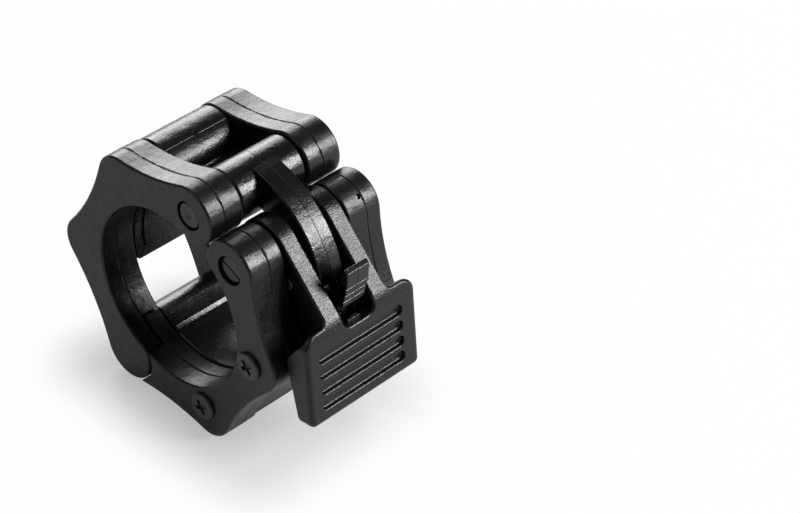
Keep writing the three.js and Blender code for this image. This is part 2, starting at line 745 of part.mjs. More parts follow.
function latchSpring() {
  const points = springPoints();
  const section = new THREE.Shape(
    Array.from({ length: wireSides }, (_, i) => polar(springWire / 2, (turn * i) / wireSides)),
  );
  const path = new THREE.CatmullRomCurve3(points);
  const settings = { steps: points.length, extrudePath: path, bevelEnabled: false };
  const wire = new THREE.ExtrudeGeometry(section, settings);
  const coilOnly = points.slice(2, -2);
  let least = Infinity;
  coilOnly.forEach((p, i) => {
    for (let j = i + Math.round(wireStepsPerTurn / 2); j < coilOnly.length; j += 1) {
      least = Math.min(least, p.distanceTo(coilOnly[j]));
    }
  });
  console.log(`latch spring: least gap between turns ${(least - springWire).toFixed(2)} mm`);
  return solidFrom(wire);
}

// Pins and screws

function headedPin(centre) {
  const end = halfBody - pinHeadRecess;
  const neck = end - pinHeadDepth;
  const half = [
    [0, end],
    [pinHeadRadius - pinEdgeChamfer, end],
    [pinHeadRadius, end - pinEdgeChamfer],
    [pinHeadRadius, neck],
    [pinShankRadius, neck],
  ];
  return turned([...half.map(([radius, y]) => [radius, -y]), ...half.reverse()], centre);
}

// Riveted ends have a round dimple.
function linkPin() {
  const end = halfBody - pinHeadRecess;
  const profile = [
    [0, -end - cutOverrun],
    [rivetDimpleRadius, -end - cutOverrun],
    [rivetDimpleRadius, -end],
    [0, rivetDimpleDepth - end],
  ];
  const dimple = turned(profile, linkPinCentre);
  return cut(headedPin(linkPinCentre), dimple);
}

function leverPin() {
  const end = halfBody - pinHeadRecess;
  const length = 2 * (pinHeadRadius + cutOverrun);
  const floor = driverSlotDepth - end;
  const slot = block(leverPinCentre, length, -end - cutOverrun, floor, driverSlotWidth, mouthAngle);
  return cut(headedPin(leverPinCentre), slot);
}

function plainPin(centre, radius, end) {
  const profile = [
    [0, -end],
    [radius - pinEdgeChamfer, -end],
    [radius, pinEdgeChamfer - end],
    [radius, end - pinEdgeChamfer],
    [radius - pinEdgeChamfer, end],
    [0, end],
  ];
  return turned(profile, centre);
}

function hingeSleeve() {
  return cut(
    disc(hingeCentre, pinHeight + hingeSleeveOverhang, -middleHalfWidth, middleHalfWidth, middleFillet),
    rod(hingeCentre, hingePinRadius + pinGap, -halfBody, halfBody),
    boreCut,
  );
}

// Pan-head screw through a plate into the clasp body. End -1 is the front face.
function screw(centre, end) {
  const face = halfBody + seatGap;
  const top = face + screwHeadHeight;
  const shoulder = halfMiddle - screwGrip;
  const profile = [
    [0, shoulder - screwTipLength],
    [screwShankRadius, shoulder],
    [screwShankRadius, face],
    [screwHeadRadius, face],
    [screwHeadRadius, top - screwHeadHeight / 2],
    [screwHeadRadius - screwHeadHeight / 2, top],
    [0, top],
  ];
  const points = end < 0 ? profile.map(([radius, y]) => [radius, -y]).reverse() : profile;
  const depths = [end * (top - screwRecessDepth), end * (top + cutOverrun)].sort((a, b) => a - b);
  const cross = [mouthAngle, mouthAngle + Math.PI / 2].map((angle) =>
    block(centre, screwRecessSpan, depths[0], depths[1], screwRecessWidth, angle),
  );
  return cut(turned(points, centre), ...cross);
}

// Block with its long side turned in the x and z plane.
function block(centre, length, front, back, height, angle) {
  const geometry = new THREE.BoxGeometry(length, back - front, height).rotateY(-angle);
  return solidFrom(geometry.translate(centre.x, (front + back) / 2, centre.y));
}

// Materials: moulded black plastic, its glossier runs, blackened steel and spring wire
const satinBlack = { color: 0x2b2b2e, roughness: 0.55, metalness: 0 };
const glossBlack = { color: 0x1d1d20, roughness: 0.35, metalness: 0 };
const blackSteel = { color: 0x252528, roughness: 0.42, metalness: 0.7 };
const springSteel = { color: 0x8c8f94, roughness: 0.35, metalness: 1 };

function piece(name, solid, finish) {
  const made = solid.getMesh();
  const geometry = new THREE.BufferGeometry();
  geometry.setAttribute("position", new THREE.BufferAttribute(made.vertProperties, 3));
  geometry.setIndex(new THREE.BufferAttribute(made.triVerts, 1));
  const faceted = geometry.toNonIndexed();
  faceted.computeVertexNormals();
  const mesh = new THREE.Mesh(faceted, new THREE.MeshStandardMaterial(finish));
  mesh.name = name;
  return mesh;
}

const claspJaw = new THREE.Group().add(
  piece("clasp_front_plate", plate(claspSide, -halfBody), satinBlack),
  piece("clasp_rear_plate", plate(claspSide, halfMiddle), satinBlack),
  piece("clasp_body", claspBody(), glossBlack),
  piece("clasp_screw_front_upper", screw(screwCentres.upper, -1), blackSteel),
  piece("clasp_screw_front_lower", screw(screwCentres.lower, -1), blackSteel),
  piece("clasp_screw_rear_upper", screw(screwCentres.upper, 1), blackSteel),
  piece("clasp_screw_rear_lower", screw(screwCentres.lower, 1), blackSteel),
  piece("lever_pin", leverPin(), blackSteel),
  piece("hinge_pin", plainPin(hingeCentre, hingePinRadius, hingePinEnd), blackSteel),
);

const backJaw = new THREE.Group().add(
  piece("back_front_plate", plate(backSide, -halfBody), satinBlack),
  piece("back_rear_plate", plate(backSide, halfMiddle), satinBlack),
  piece("back_saddle", saddle(), glossBlack),
  piece("link_pin", linkPin(), blackSteel),
  piece("hinge_sleeve", hingeSleeve(), glossBlack),
);

const leverGroup = new THREE.Group().add(
  piece("lever", lever(), glossBlack),
  piece("toggle_pin", plainPin(togglePinCentre, togglePinRadius, togglePinEnd), blackSteel),
  piece("latch_pin", plainPin(latchPinCentre, latchPinRadius, latchPinEnd), blackSteel),
  piece("latch_spring", latchSpring(), springSteel),
  piece("release_tab", releaseTab(), glossBlack),
);

const linkGroup = new THREE.Group().add(piece("link", link(), glossBlack));

// The collar stands on its two lower lobes, with its origin under the middle of its box.
const design = new THREE.Group().add(claspJaw, backJaw, leverGroup, linkGroup);
const reach = new THREE.Box3().setFromObject(design, true);
const middle = reach.getCenter(new THREE.Vector3());
design.position.set(-middle.x, -middle.y, -reach.min.z);
const collar = new THREE.Group().add(design);
collar.updateMatrixWorld(true);

export default collar;
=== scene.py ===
# %% [markdown]
# # A barbell collar in moulded black nylon
# The collar clamps round the sleeve of a bar. Two jaws turn on a hinge, and a lever with a short link
# draws them shut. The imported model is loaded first, because it is the frame for everything here: each
# piece is drawn where the frame has it, in metres, with the bar along Y and the pin ends facing -Y.

import math

import bmesh
import bpy
import numpy as np
from mathutils import Matrix, Vector


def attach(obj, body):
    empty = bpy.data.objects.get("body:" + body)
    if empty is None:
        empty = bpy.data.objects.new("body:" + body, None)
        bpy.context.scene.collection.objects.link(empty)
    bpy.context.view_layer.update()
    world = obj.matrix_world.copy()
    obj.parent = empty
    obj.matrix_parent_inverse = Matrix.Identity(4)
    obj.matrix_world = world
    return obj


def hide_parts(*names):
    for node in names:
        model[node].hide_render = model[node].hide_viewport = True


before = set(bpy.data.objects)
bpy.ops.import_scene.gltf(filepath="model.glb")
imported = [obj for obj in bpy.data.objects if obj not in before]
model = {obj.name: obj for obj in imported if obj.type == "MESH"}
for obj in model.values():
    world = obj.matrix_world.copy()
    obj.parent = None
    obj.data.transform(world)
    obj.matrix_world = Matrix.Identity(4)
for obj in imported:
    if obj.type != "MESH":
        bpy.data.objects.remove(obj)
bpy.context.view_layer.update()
MM = 0.001

# %% [markdown]
# ## Camera
# The picture looks down on the collar from its front right with a long lens. The camera could be aimed
# by eye, but its turn was worked out from the pins and the bore, so it is written as two directions:
# the picture's right and the picture's up. Everything after it is judged from there.

# %% Camera
CAMERA_PLACE = Vector((349.3, -323.3, 432.2)) * MM
CAMERA_RIGHT = Vector((0.71371, 0.69930, 0.04104))
CAMERA_UP = Vector((-0.46710, 0.43143, 0.77181))
LENS_MM = 110.25
SENSOR_MM = 36

camera = bpy.data.objects.new("camera", bpy.data.cameras.new("camera"))
camera.data.lens = LENS_MM
camera.data.sensor_width = SENSOR_MM
camera_axes = Matrix((CAMERA_RIGHT, CAMERA_UP, CAMERA_RIGHT.cross(CAMERA_UP))).transposed()
camera.matrix_world = Matrix.Translation(CAMERA_PLACE) @ camera_axes.to_4x4()
bpy.context.scene.collection.objects.link(camera)
bpy.context.scene.camera = camera
print("camera stands", round((CAMERA_PLACE - Vector((0, 0, 0.04))).length, 3), "m from the collar")

# %% [markdown]
# ## Places and sizes
# A jaw's outline lives in the plane square to the bar. A point of that plane is one complex number,
# x + z times i, in millimetres from the middle of the bore, because turning and mirroring are then one
# multiplication each. The bore stands over the floor at `BORE`. A jaw is a chain of `LOBES`, each a centre
# and a radius, drawn with its mouth along x and then turned by `MOUTH`. Cutters that go right through
# reach `THROUGH` to each side.

# %% Sizes, in millimetres
BORE = complex(-4.412, 36.013)
BORE_RADIUS = 25.0
PLATE_DEPTH = 10.8
HALF_DEPTH = 21.6
HALF_MIDDLE = 10.8
MIDDLE_REACH = 10.5
THROUGH = 22.0
LOBE_REACH = 32.0
MOUTH = np.exp(1j * math.radians(60))
MOUTH_LEAN = math.degrees(math.asin(8.28 / LOBE_REACH))


def polar(radius, degrees):
    """The point at a distance from the bore's middle, at an angle from the x axis."""
    return radius * np.exp(1j * math.radians(degrees))


LOBES = [
    (polar(LOBE_REACH, MOUTH_LEAN), 8.1),
    (polar(30.8, 64), 8.0),
    (polar(31.85, 123.5), 7.5),
    (polar(LOBE_REACH, 180), 8.3),
]
LEVER_PIN = np.conj(LOBES[0][0]) * MOUTH
LINK_PIN = LOBES[0][0] * MOUTH
HINGE = LOBES[3][0] * MOUTH
TOGGLE_PIN = LEVER_PIN + polar(9.7, -34)
print("lever pin", np.round(LEVER_PIN, 2), "link pin", np.round(LINK_PIN, 2), "hinge", np.round(HINGE, 2))

# %% [markdown]
# ## Outlines
# Every moulding here is an outline with some thickness. An outline is a closed loop of arcs and straight
# lines, walked with the material on the left. Its edges could be rounded with a Bevel modifier, but a
# modifier guesses where corners meet. Here each outline can be drawn again a little further in: arcs
# change their radius, lines shift, and each joint is found anew where the shifted neighbours cross. Rings
# drawn at growing insets, at falling heights, then make a clean rounded edge.


# %% Outline elements
PARALLEL = 1e-9


def arc(centre, radius, way=1):
    """Element of an outline: part of a circle, walked anticlockwise (1) or clockwise (-1)."""
    return {"centre": complex(centre), "radius": radius, "way": way}


def line(start, end):
    """Element of an outline: the straight way from one point towards another."""
    way = complex(end) - complex(start)
    return {"start": complex(start), "along": way / abs(way)}


def towards(start, goal, distance):
    """The point at a distance from the start, in the direction of the goal."""
    return start + (goal - start) / abs(goal - start) * distance


def axes(origin, along, aside):
    """A function that gives the point at two distances from the origin, along two directions."""
    return lambda first, second: origin + along * first + aside * second


def touch(first, second):
    """Where two circles that touch from outside meet."""
    return towards(first["centre"], second["centre"], first["radius"])


def shifted(element, inset):
    """The element moved to its left by the inset: an arc changes its radius, a line slides sideways."""
    if "centre" in element:
        return {**element, "radius": element["radius"] - element["way"] * inset}
    return {**element, "start": element["start"] + 1j * element["along"] * inset}


def crossing(first, second, near):
    """Where two elements meet, at the point nearest to a hint. Touching circles give their touch."""
    if "centre" in first and "centre" in second:
        span = second["centre"] - first["centre"]
        gap = abs(span)
        along = (first["radius"] ** 2 - second["radius"] ** 2 + gap**2) / (2 * gap)
        aside = math.sqrt(max(first["radius"] ** 2 - along**2, 0))
        found = [first["centre"] + span / gap * (along + side * 1j * aside) for side in (1, -1)]
    elif "centre" in first or "centre" in second:
        circle, straight = (first, second) if "centre" in first else (second, first)
        foot = circle["centre"] - straight["start"]
        foot = straight["start"] + straight["along"] * (foot * straight["along"].conjugate()).real
        half = math.sqrt(max(circle["radius"] ** 2 - abs(circle["centre"] - foot) ** 2, 0))
        found = [foot + straight["along"] * half, foot - straight["along"] * half]
    else:
        turn = (first["along"].conjugate() * second["along"]).imag
        if abs(turn) < PARALLEL:
            ahead = ((near - first["start"]) * first["along"].conjugate()).real
            return first["start"] + first["along"] * ahead
        offset = ((second["start"] - first["start"]).conjugate() * second["along"]).imag
        found = [first["start"] + first["along"] * offset / turn]
    return min(found, key=lambda point: abs(point - near))


class Outline:
    """Closed loop of elements, with a hint for the joint before each of them."""

    def __init__(self, elements, hints, step=4.0, pitch=None):
        self.elements = elements
        befores = [elements[-1], *elements[:-1]]
        self.joints = [crossing(*trio) for trio in zip(befores, elements, hints)]
        self.counts = [self.steps(i, step, pitch) for i in range(len(elements))]

    def steps(self, i, step, pitch):
        """Steps in an element: one for each step of degrees in an arc, or each pitch that a line climbs."""
        element, (start, end) = self.elements[i], self.ends(i)
        if "centre" in element:
            return max(2, math.ceil(math.degrees(self.swept(element, start, end)) / step))
        return max(1, math.ceil(abs((end - start).imag) / pitch)) if pitch else 1

    def ends(self, i):
        """First and last point of an element."""
        return self.joints[i], self.joints[(i + 1) % len(self.joints)]

    @staticmethod
    def swept(element, start, end):
        """Angle that an arc sweeps from start to end, in radians."""
        ratio = (end - element["centre"]) / (start - element["centre"])
        return (element["way"] * np.angle(ratio)) % (2 * math.pi)

    def ring(self, inset=0.0):
        """Points of the outline drawn in by the inset, always the same number of them."""
        moved = [shifted(element, inset) for element in self.elements]
        joints = [crossing(moved[i - 1], element, self.joints[i]) for i, element in enumerate(moved)]
        parts = []
        for i, (element, count) in enumerate(zip(moved, self.counts)):
            start, end = joints[i], joints[(i + 1) % len(joints)]
            share = np.arange(count) / count
            if "centre" in element:
                angle = self.swept(element, start, end) * element["way"]
                parts.append(element["centre"] + (start - element["centre"]) * np.exp(1j * angle * share))
            else:
                parts.append(start + (end - start) * share)
        return np.concatenate(parts)

    def moved(self, change, mirrored=False):
        """The same outline after its points are turned or shifted; a mirrored one is walked backwards."""
        elements = []
        for i, element in enumerate(self.elements):
            start, end = (change(joint) for joint in self.ends(i))
            if "centre" in element:
                elements.append({**element, "centre": change(element["centre"])})
            else:
                elements.append(line(end, start) if mirrored else line(start, end))
        hints, counts = [change(joint) for joint in self.joints], list(self.counts)
        if mirrored:
            elements, hints, counts = elements[::-1], hints[:1] + hints[:0:-1], counts[::-1]
        copy = Outline(elements, hints)
        copy.counts = counts
        return copy


def polygon(corners, place=complex, step=6.0, pitch=None):
    """Outline of straight sides from corners (x, y, radius), 0 for sharp, each put where place says."""
    points = [place(x, y) for x, y, _ in corners]
    elements, hints = [], []
    for i, (point, (*_, radius)) in enumerate(zip(points, corners)):
        before, after = points[i - 1], points[(i + 1) % len(points)]
        arriving, leaving = (point - before) / abs(point - before), (after - point) / abs(after - point)
        if radius:
            half = np.angle(leaving / arriving) / 2
            way = 1 if half > 0 else -1
            start = point - arriving * radius * math.tan(abs(half))
            elements.append(arc(start + 1j * arriving * way * radius, radius, way))
            hints += [start, point + leaving * radius * math.tan(abs(half))]
        else:
            hints.append(point)
        elements.append(line(point, after))
    return Outline(elements, hints, step, pitch)


square = polygon([(0, 0, 1), (10, 0, 1), (10, 10, 0), (0, 10, 0)])
drawn_in = square.ring(0.5).real
print("a test square of", len(drawn_in), "points reaches", drawn_in.max(), "when it is drawn in by 0.5")

# %% [markdown]
# ## From rings to a mesh
# A solid is a stack of rings. A level says how far a ring is drawn in and how deep it lies. A quarter
# circle of levels rounds the edge between face and side, and one more ring just inside it keeps the flat
# face's shading flat. Fine steps in the side draw the parting line, where the two halves of the mould met.


# %% Stacks of rings
SAME_PLACE = 1e-7
SMOOTH_BELOW = 32


def quarter(radius, steps=6):
    """Inset radius * (1 - sin t) and depth radius * (1 - cos t) of an edge, for t from 0 to 90 degrees."""
    t = np.linspace(0, math.pi / 2, steps + 1)
    return np.column_stack([radius * (1 - np.sin(t)), radius * (1 - np.cos(t))])


def edge_levels(front, back, fillet, parting=None, groove=0.1, draft=0.012):
    """Levels from the front face to the back face, with rounded edges, draft and a fine parting groove."""
    parting = (front + back) / 2 if parting is None else parting
    head = quarter(fillet) + [(parting - front) * draft, front]
    tail = quarter(fillet) * [1, -1] + [(back - parting) * draft, back]
    aside, support = groove * 0.8, 0.12
    parting_levels = [(0, parting - aside), (groove, parting), (0, parting + aside)]
    first = (head[0][0] + support, front)
    last = (tail[0][0] + support, back)
    return np.array([first, *head, *parting_levels, *tail[::-1], last])


def stack(rings):
    """Quads between equal rings, and one flat face on each end."""
    count, size = rings.shape[:2]
    index = np.arange(count * size).reshape(count, size)
    following = np.roll(index, -1, axis=1)
    sides = np.stack([index[:-1], following[:-1], following[1:], index[1:]], axis=-1).reshape(-1, 4)
    return rings.reshape(-1, 3), sides.tolist() + [index[0].tolist(), index[-1].tolist()]


def upright(points, depth):
    """Points of the plane square to the bar, at a depth along it, as places in millimetres."""
    along = np.broadcast_to(depth, points.shape)
    return np.stack([points.real + BORE.real, along, points.imag + BORE.imag], axis=-1)


def outward(mesh):
    """Merge points that lie within SAME_PLACE metres, and turn every face outwards."""
    work = bmesh.new()
    work.from_mesh(mesh)
    bmesh.ops.remove_doubles(work, verts=work.verts, dist=SAME_PLACE)
    bmesh.ops.recalc_face_normals(work, faces=work.faces)
    work.to_mesh(mesh)
    work.free()


def make_mesh(name, places, faces):
    """A mesh object from places in millimetres, with its faces outwards."""
    mesh = bpy.data.meshes.new(name)
    mesh.from_pydata((np.asarray(places) * MM).tolist(), [], faces)
    outward(mesh)
    piece = bpy.data.objects.new(name, mesh)
    bpy.context.scene.collection.objects.link(piece)
    return piece


def prism(name, outline, levels):
    """Solid of an outline carried along the bar: each ring is drawn in and placed as its level says."""
    rings = np.stack([upright(outline.ring(inset), depth) for inset, depth in levels])
    return make_mesh(name, *stack(rings))


def lathe(name, centre, profile, sides=72):
    """Surface of a profile of (radius, y) turned about an axis along the bar."""
    angle = np.linspace(0, 2 * math.pi, sides, endpoint=False)
    profile = np.array(profile, float)
    points = complex(centre) + profile[:, :1] * np.exp(1j * angle)
    return make_mesh(name, *stack(upright(points, profile[:, 1:])))


def rod(centre, radius, half=THROUGH, sides=72):
    """Plain round cutter along the bar, from -half to half."""
    return lathe("cutter", centre, [(radius, -half), (radius, half)], sides)


def apply(piece, modifier):
    """Make a modifier's change part of the mesh."""
    with bpy.context.temp_override(object=piece, active_object=piece):
        bpy.ops.object.modifier_apply(modifier=modifier.name)


def cut(piece, *cutters, keep=False, way="DIFFERENCE"):
    """Take the cutters out of a piece, one after another, and delete them unless they are kept."""
    for cutter in cutters:
        work = piece.modifiers.new("cut", "BOOLEAN")
        work.operation, work.solver, work.object = way, "MANIFOLD", cutter
        apply(piece, work)
        if not keep:
            bpy.data.objects.remove(cutter)
    return piece


def united(name, first, *others):
    """Weld pieces that run into each other into one closed skin."""
    cut(first, *others, way="UNION")
    first.name = name
    return first


def fitted(piece, host, node):
    """Shade a piece, tell the frame its body and hide the node it stands for.

    Shading is smooth, broken along edges that turn more than SMOOTH_BELOW degrees, and large flat faces
    keep their own direction up to the rounded edge.
    """
    mesh = piece.data
    mesh.shade_smooth()
    mesh.set_sharp_from_angle(angle=math.radians(SMOOTH_BELOW))
    even = piece.modifiers.new("even", "WEIGHTED_NORMAL")
    even.keep_sharp = True
    even.weight = 80
    apply(piece, even)
    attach(piece, host)
    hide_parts(node)
    box = np.array([corner[:] for corner in piece.bound_box]) / MM
    print(f"{piece.name}: {len(mesh.polygons)} faces, {np.round(np.ptp(box, axis=0), 1).tolist()} mm")


# %% [markdown]
# ## Jaw plates
# Each jaw has two plates, one on each face, moulded from the same drawing. The outer edge is a chain of
# convex lobes joined by hollow valleys, and every joint is tangent, so a fingertip finds no corner. A
# valley's circle touches the lobes on both sides and sinks to a set height over the bore. It could be
# found by trial. Written out, three tangent circles leave one quadratic in the radius.


# %% Valleys between lobes
def valley(first, second, height):
    """Circle that touches two lobes from outside and whose lowest point is at a height over the bore."""
    floor = BORE_RADIUS + height
    (c1, r1), (c2, r2) = first, second
    rows = np.array([[2 * c1.real, 2 * c1.imag], [2 * c2.real, 2 * c2.imag]])
    fixed = np.array([abs(c1) ** 2 - r1**2 + floor**2, abs(c2) ** 2 - r2**2 + floor**2])
    slope = np.array([2 * (floor - r1), 2 * (floor - r2)])
    start, rate = np.linalg.solve(rows, fixed), np.linalg.solve(rows, slope)
    roots = np.roots([rate @ rate - 1, 2 * (start @ rate - floor), start @ start - floor**2])
    radius = min(root.real for root in roots if root.real > 0)
    return arc(complex(*(start + rate * radius)), radius, -1)


VALLEYS = [valley(LOBES[i], LOBES[i + 1], height) for i, height in enumerate((10.3, 8.35, 9.5))]


def jaw_outline():
    """The outline of a jaw in its own frame, whose x axis runs through the mouth."""
    lobes = [arc(centre, radius) for centre, radius in LOBES]
    loop, hints = [lobes[0]], [polar(BORE_RADIUS, 8)]
    for before, hollow, after in zip(lobes, VALLEYS, lobes[1:]):
        loop += [hollow, after]
        hints += [touch(before, hollow), touch(after, hollow)]
    return Outline([*loop, arc(0, BORE_RADIUS, -1)], [*hints, polar(BORE_RADIUS, 190)], step=3.0)


JAW = jaw_outline()
BACK_JAW = JAW.moved(lambda point: point * MOUTH)
CLASP_JAW = JAW.moved(lambda point: np.conj(point) * MOUTH, mirrored=True)
print("valley radii", [round(float(hollow["radius"]), 1) for hollow in VALLEYS])

# %% [markdown]
# A plate is this outline carried through its depth. Holes for the pins and the two halves of the lap
# hinge are taken out with Boolean cutters, turned on a lathe so that each leaves a rounded rim. The rim
# could be bevelled after the cut, but a flared cutter gives the same rim and never fails at a crossing.


# %% Cutters and plates
HINGE_ROOM, HEAD_HOLE, SHANK_HOLE = 8.85, 3.9, 3.0
HEAD_DEPTH, SHANK_START, BEYOND = 3.3, 1.0, 1.0
ROUND_SIDES = 96


def drill(centre, radius, mouth, floor, flare):
    """Round cutter from beyond a face to a floor, wider at the face by a quarter-round flare."""
    way = 1 if floor > mouth else -1
    rim = [(radius + inset, mouth + way * depth) for inset, depth in quarter(flare, 4)]
    profile = [(radius + flare, mouth - way * BEYOND), *rim, (radius, floor)]
    return lathe("cutter", centre, profile, ROUND_SIDES)


def plate(name, outline, front, parting, lap, pin):
    """Plate with its hinge lap (depths of the room for the other plate) and the hole for a pin's head."""
    back = front + PLATE_DEPTH
    piece = prism(name, outline, edge_levels(front, back, 0.65, parting=front + parting, groove=0.12))
    outer, inner = (front, back) if front < 0 else (back, front)
    side = 1 if front < 0 else -1
    return cut(
        piece,
        drill(HINGE, HINGE_ROOM, *lap, flare=0.5),
        drill(pin, HEAD_HOLE, outer, outer + side * HEAD_DEPTH, flare=0.2),
        drill(pin, SHANK_HOLE, inner, outer + side * SHANK_START, flare=0.1),
    )


def gate_mark(centre, reach, angle, depth, radius, sunk):
    """Round cutter sunk into a curved side, at a reach and angle from its axis and a depth."""
    spot, way = centre + polar(reach, angle), polar(1, angle)
    turn = np.exp(1j * np.linspace(0, 2 * math.pi, 16, endpoint=False))
    rings = [upright(spot + way * (height + 1j * radius * turn.real), depth + radius * turn.imag)
             for height in (-sunk, BEYOND)]
    return make_mesh("cutter", *stack(np.stack(rings)))


JAWS = {
    "back": (BACK_JAW, 4.8, (PLATE_DEPTH, 4.9), LINK_PIN),
    "clasp": (CLASP_JAW, 6.0, (0, 5.9), LEVER_PIN),
}
PLATES = {}
for end, front in (("front", -HALF_DEPTH), ("rear", HALF_MIDDLE)):
    for jaw, (outline, parting, (mouth, floor), pin) in JAWS.items():
        lap = (front + mouth, front + floor)
        PLATES[f"{jaw}_{end}"] = plate(f"{jaw}_jaw_{end}_cheek", outline, front, parting, lap, pin)
cut(PLATES["clasp_rear"], gate_mark(LEVER_PIN, 8.1, 47, 15.8, 0.8, 0.7))
cut(PLATES["back_front"], gate_mark(LINK_PIN, 8.1, 72, -15.7, 0.6, 0.15))
for key, piece in PLATES.items():
    fitted(piece, f"{key.split('_')[0]}_jaw", f"{key}_plate")

# %% [markdown]
# ## Middle pieces of the back jaw
# Between its plates the back jaw has the saddle: a curved wall that closes the bore, with a barrel near
# the mouth and a thinner post near the hinge. It is one outline again. The small hollow arcs between wall
# and barrel are placed by rolling a circle along both. A shallow channel near each edge of the bore face
# is cut with a curved strip. A bead along the barrel and a round mark on it show where the mould closed
# and where it was filled.


# %% Saddle
WALL, LOW_WALL, WALL_START, WALL_END = 29, 27, 24, 136.5
BARREL_AT, BARREL_RADIUS, POST_RADIUS, BLEND = polar(30.9, 64) + polar(1, -101.5), 8.6, 5.5, 1.5
CHANNEL_START, CHANNEL_END, CHANNEL_FLOOR = 70, 132, 25.6


def rolled(first, second, radius, hint):
    """Hollow arc of a radius that touches two circles from outside, on the side of the hint."""
    grown = [arc(circle["centre"], circle["radius"] + radius) for circle in (first, second)]
    return arc(crossing(*grown, hint), radius, -1)


def saddle_outline():
    """Low wall, barrel, wall, post and wall again, in the jaw's own frame."""
    low_wall, wall, post = arc(0, LOW_WALL), arc(0, WALL), arc(LOBES[2][0], POST_RADIUS)
    barrel = arc(BARREL_AT, BARREL_RADIUS)
    places = ((low_wall, barrel, 47), (wall, barrel, 81), (wall, post, 111), (wall, post, 136))
    blends = [rolled(first, second, BLEND, polar(30.5, angle)) for first, second, angle in places]
    last = max(WALL_END, math.degrees(np.angle(blends[3]["centre"])) + 2.5)
    loop = [low_wall, blends[0], barrel, blends[1], wall, blends[2], post, blends[3], wall]
    joints = [polar(LOW_WALL, WALL_START)]
    for first, second in zip(loop, loop[1:]):
        joints.append(touch(first, second) if second["way"] < 0 else touch(second, first))
    ends = [polar(WALL, last), polar(BORE_RADIUS, last), polar(BORE_RADIUS, WALL_START)]
    loop += [line(*ends[:2]), arc(0, BORE_RADIUS, -1), line(ends[2], joints[0])]
    return Outline(loop, joints + ends, step=3.0)


SADDLE = saddle_outline().moved(lambda point: point * MOUTH)
saddle_levels = edge_levels(-MIDDLE_REACH, MIDDLE_REACH, 0.35, groove=0, draft=0.004)
saddle = prism("back_jaw_saddle", SADDLE, saddle_levels)


def channel(y_start, y_end):
    """Curved strip that sinks a channel into the bore face, 0.6 mm deep."""
    radii, angles = (CHANNEL_FLOOR, BORE_RADIUS - 1), (CHANNEL_START, CHANNEL_END)
    floor, inside = ([polar(radius, angle) for angle in angles] for radius in radii)
    loop = [arc(0, radii[0]), line(floor[1], inside[1]), arc(0, radii[1], -1), line(inside[0], floor[0])]
    strip = Outline(loop, [*floor, *inside[::-1]]).moved(lambda point: point * MOUTH)
    return prism("cutter", strip, [(0, y_start), (0, y_end)])


BARREL = BARREL_AT * MOUTH
seam = lathe("seam", BARREL + polar(BARREL_RADIUS - 0.06, 65), [(0.13, -10.1), (0.13, 10.1)], sides=12)
saddle = united("back_jaw_saddle", saddle, seam)
cut(
    saddle,
    gate_mark(BARREL, BARREL_RADIUS, 68, 0, 0.75, 0.25),
    rod(LINK_PIN, 9.0, sides=ROUND_SIDES),
    channel(-9.8, -7.4),
    channel(7.4, 9.8),
)
fitted(saddle, "back_jaw", "back_saddle")

# %% [markdown]
# ## Sleeve on the hinge
# The hinge pin runs from face to face inside a round sleeve, which shows through the bore. It is turned
# on a lathe, and the bore takes a shallow bite out of it.


# %% Sleeve and round bars
def rounded_bar(radius, half, fillet):
    """Profile of a round bar from -half to half whose ends are rounded by quarter circles."""
    rim = [(radius - inset, half - depth) for inset, depth in quarter(fillet)]
    tail = [(rim[0][0] - 0.1, half), *rim]
    return [*((r, -y) for r, y in tail), *tail[::-1]]


SLEEVE_RADIUS = 7.45
bore_cutter = rod(0j, BORE_RADIUS, sides=144)
sleeve = lathe("hinge_sleeve_tube", HINGE, rounded_bar(SLEEVE_RADIUS, MIDDLE_REACH, 0.7))
cut(sleeve, bore_cutter, keep=True)
fitted(sleeve, "back_jaw", "hinge_sleeve")

# %% [markdown]
# ## Middle piece of the clasp jaw
# The clasp jaw's body fills the space between its plates: it ends in a hollow round the hinge's sleeve,
# has full lobes at the foot, then a thin wall that leaves room for the lever. It follows the plates' own
# circles, drawn in by 0.4 mm. The keeper, a small nose on a stem, stands in a pocket where the latch's
# hook reaches it.


# %% Clasp body
BODY_INSET, BODY_WALL, BODY_BLEND, SLEEVE_ROOM = 0.4, 29.5, 3.4, 8.1


def clasp_outline():
    """Lobes and valleys of the plates, drawn in, and a wall of 4.5 mm up to the lever's pin."""
    wall = arc(0, BODY_WALL)
    first, second = (arc(centre, radius - BODY_INSET) for centre, radius in LOBES[1:3])
    upper, lower = (shifted(hollow, BODY_INSET) for hollow in VALLEYS[1:])
    blend = rolled(wall, first, BODY_BLEND, polar(33, 40))
    top, mouth = polar(BODY_WALL, MOUTH_LEAN), polar(BORE_RADIUS, MOUTH_LEAN)
    hinge_room, bore = arc(LOBES[3][0], SLEEVE_ROOM, -1), arc(0, BORE_RADIUS, -1)
    loop = [wall, blend, first, upper, second, lower, hinge_room, bore, line(mouth, top)]
    joints = [top, touch(wall, blend), touch(first, blend), touch(first, upper), touch(second, upper),
              touch(second, lower), polar(34, 160), polar(BORE_RADIUS, 165), mouth]
    return Outline(loop, joints, step=3.0)


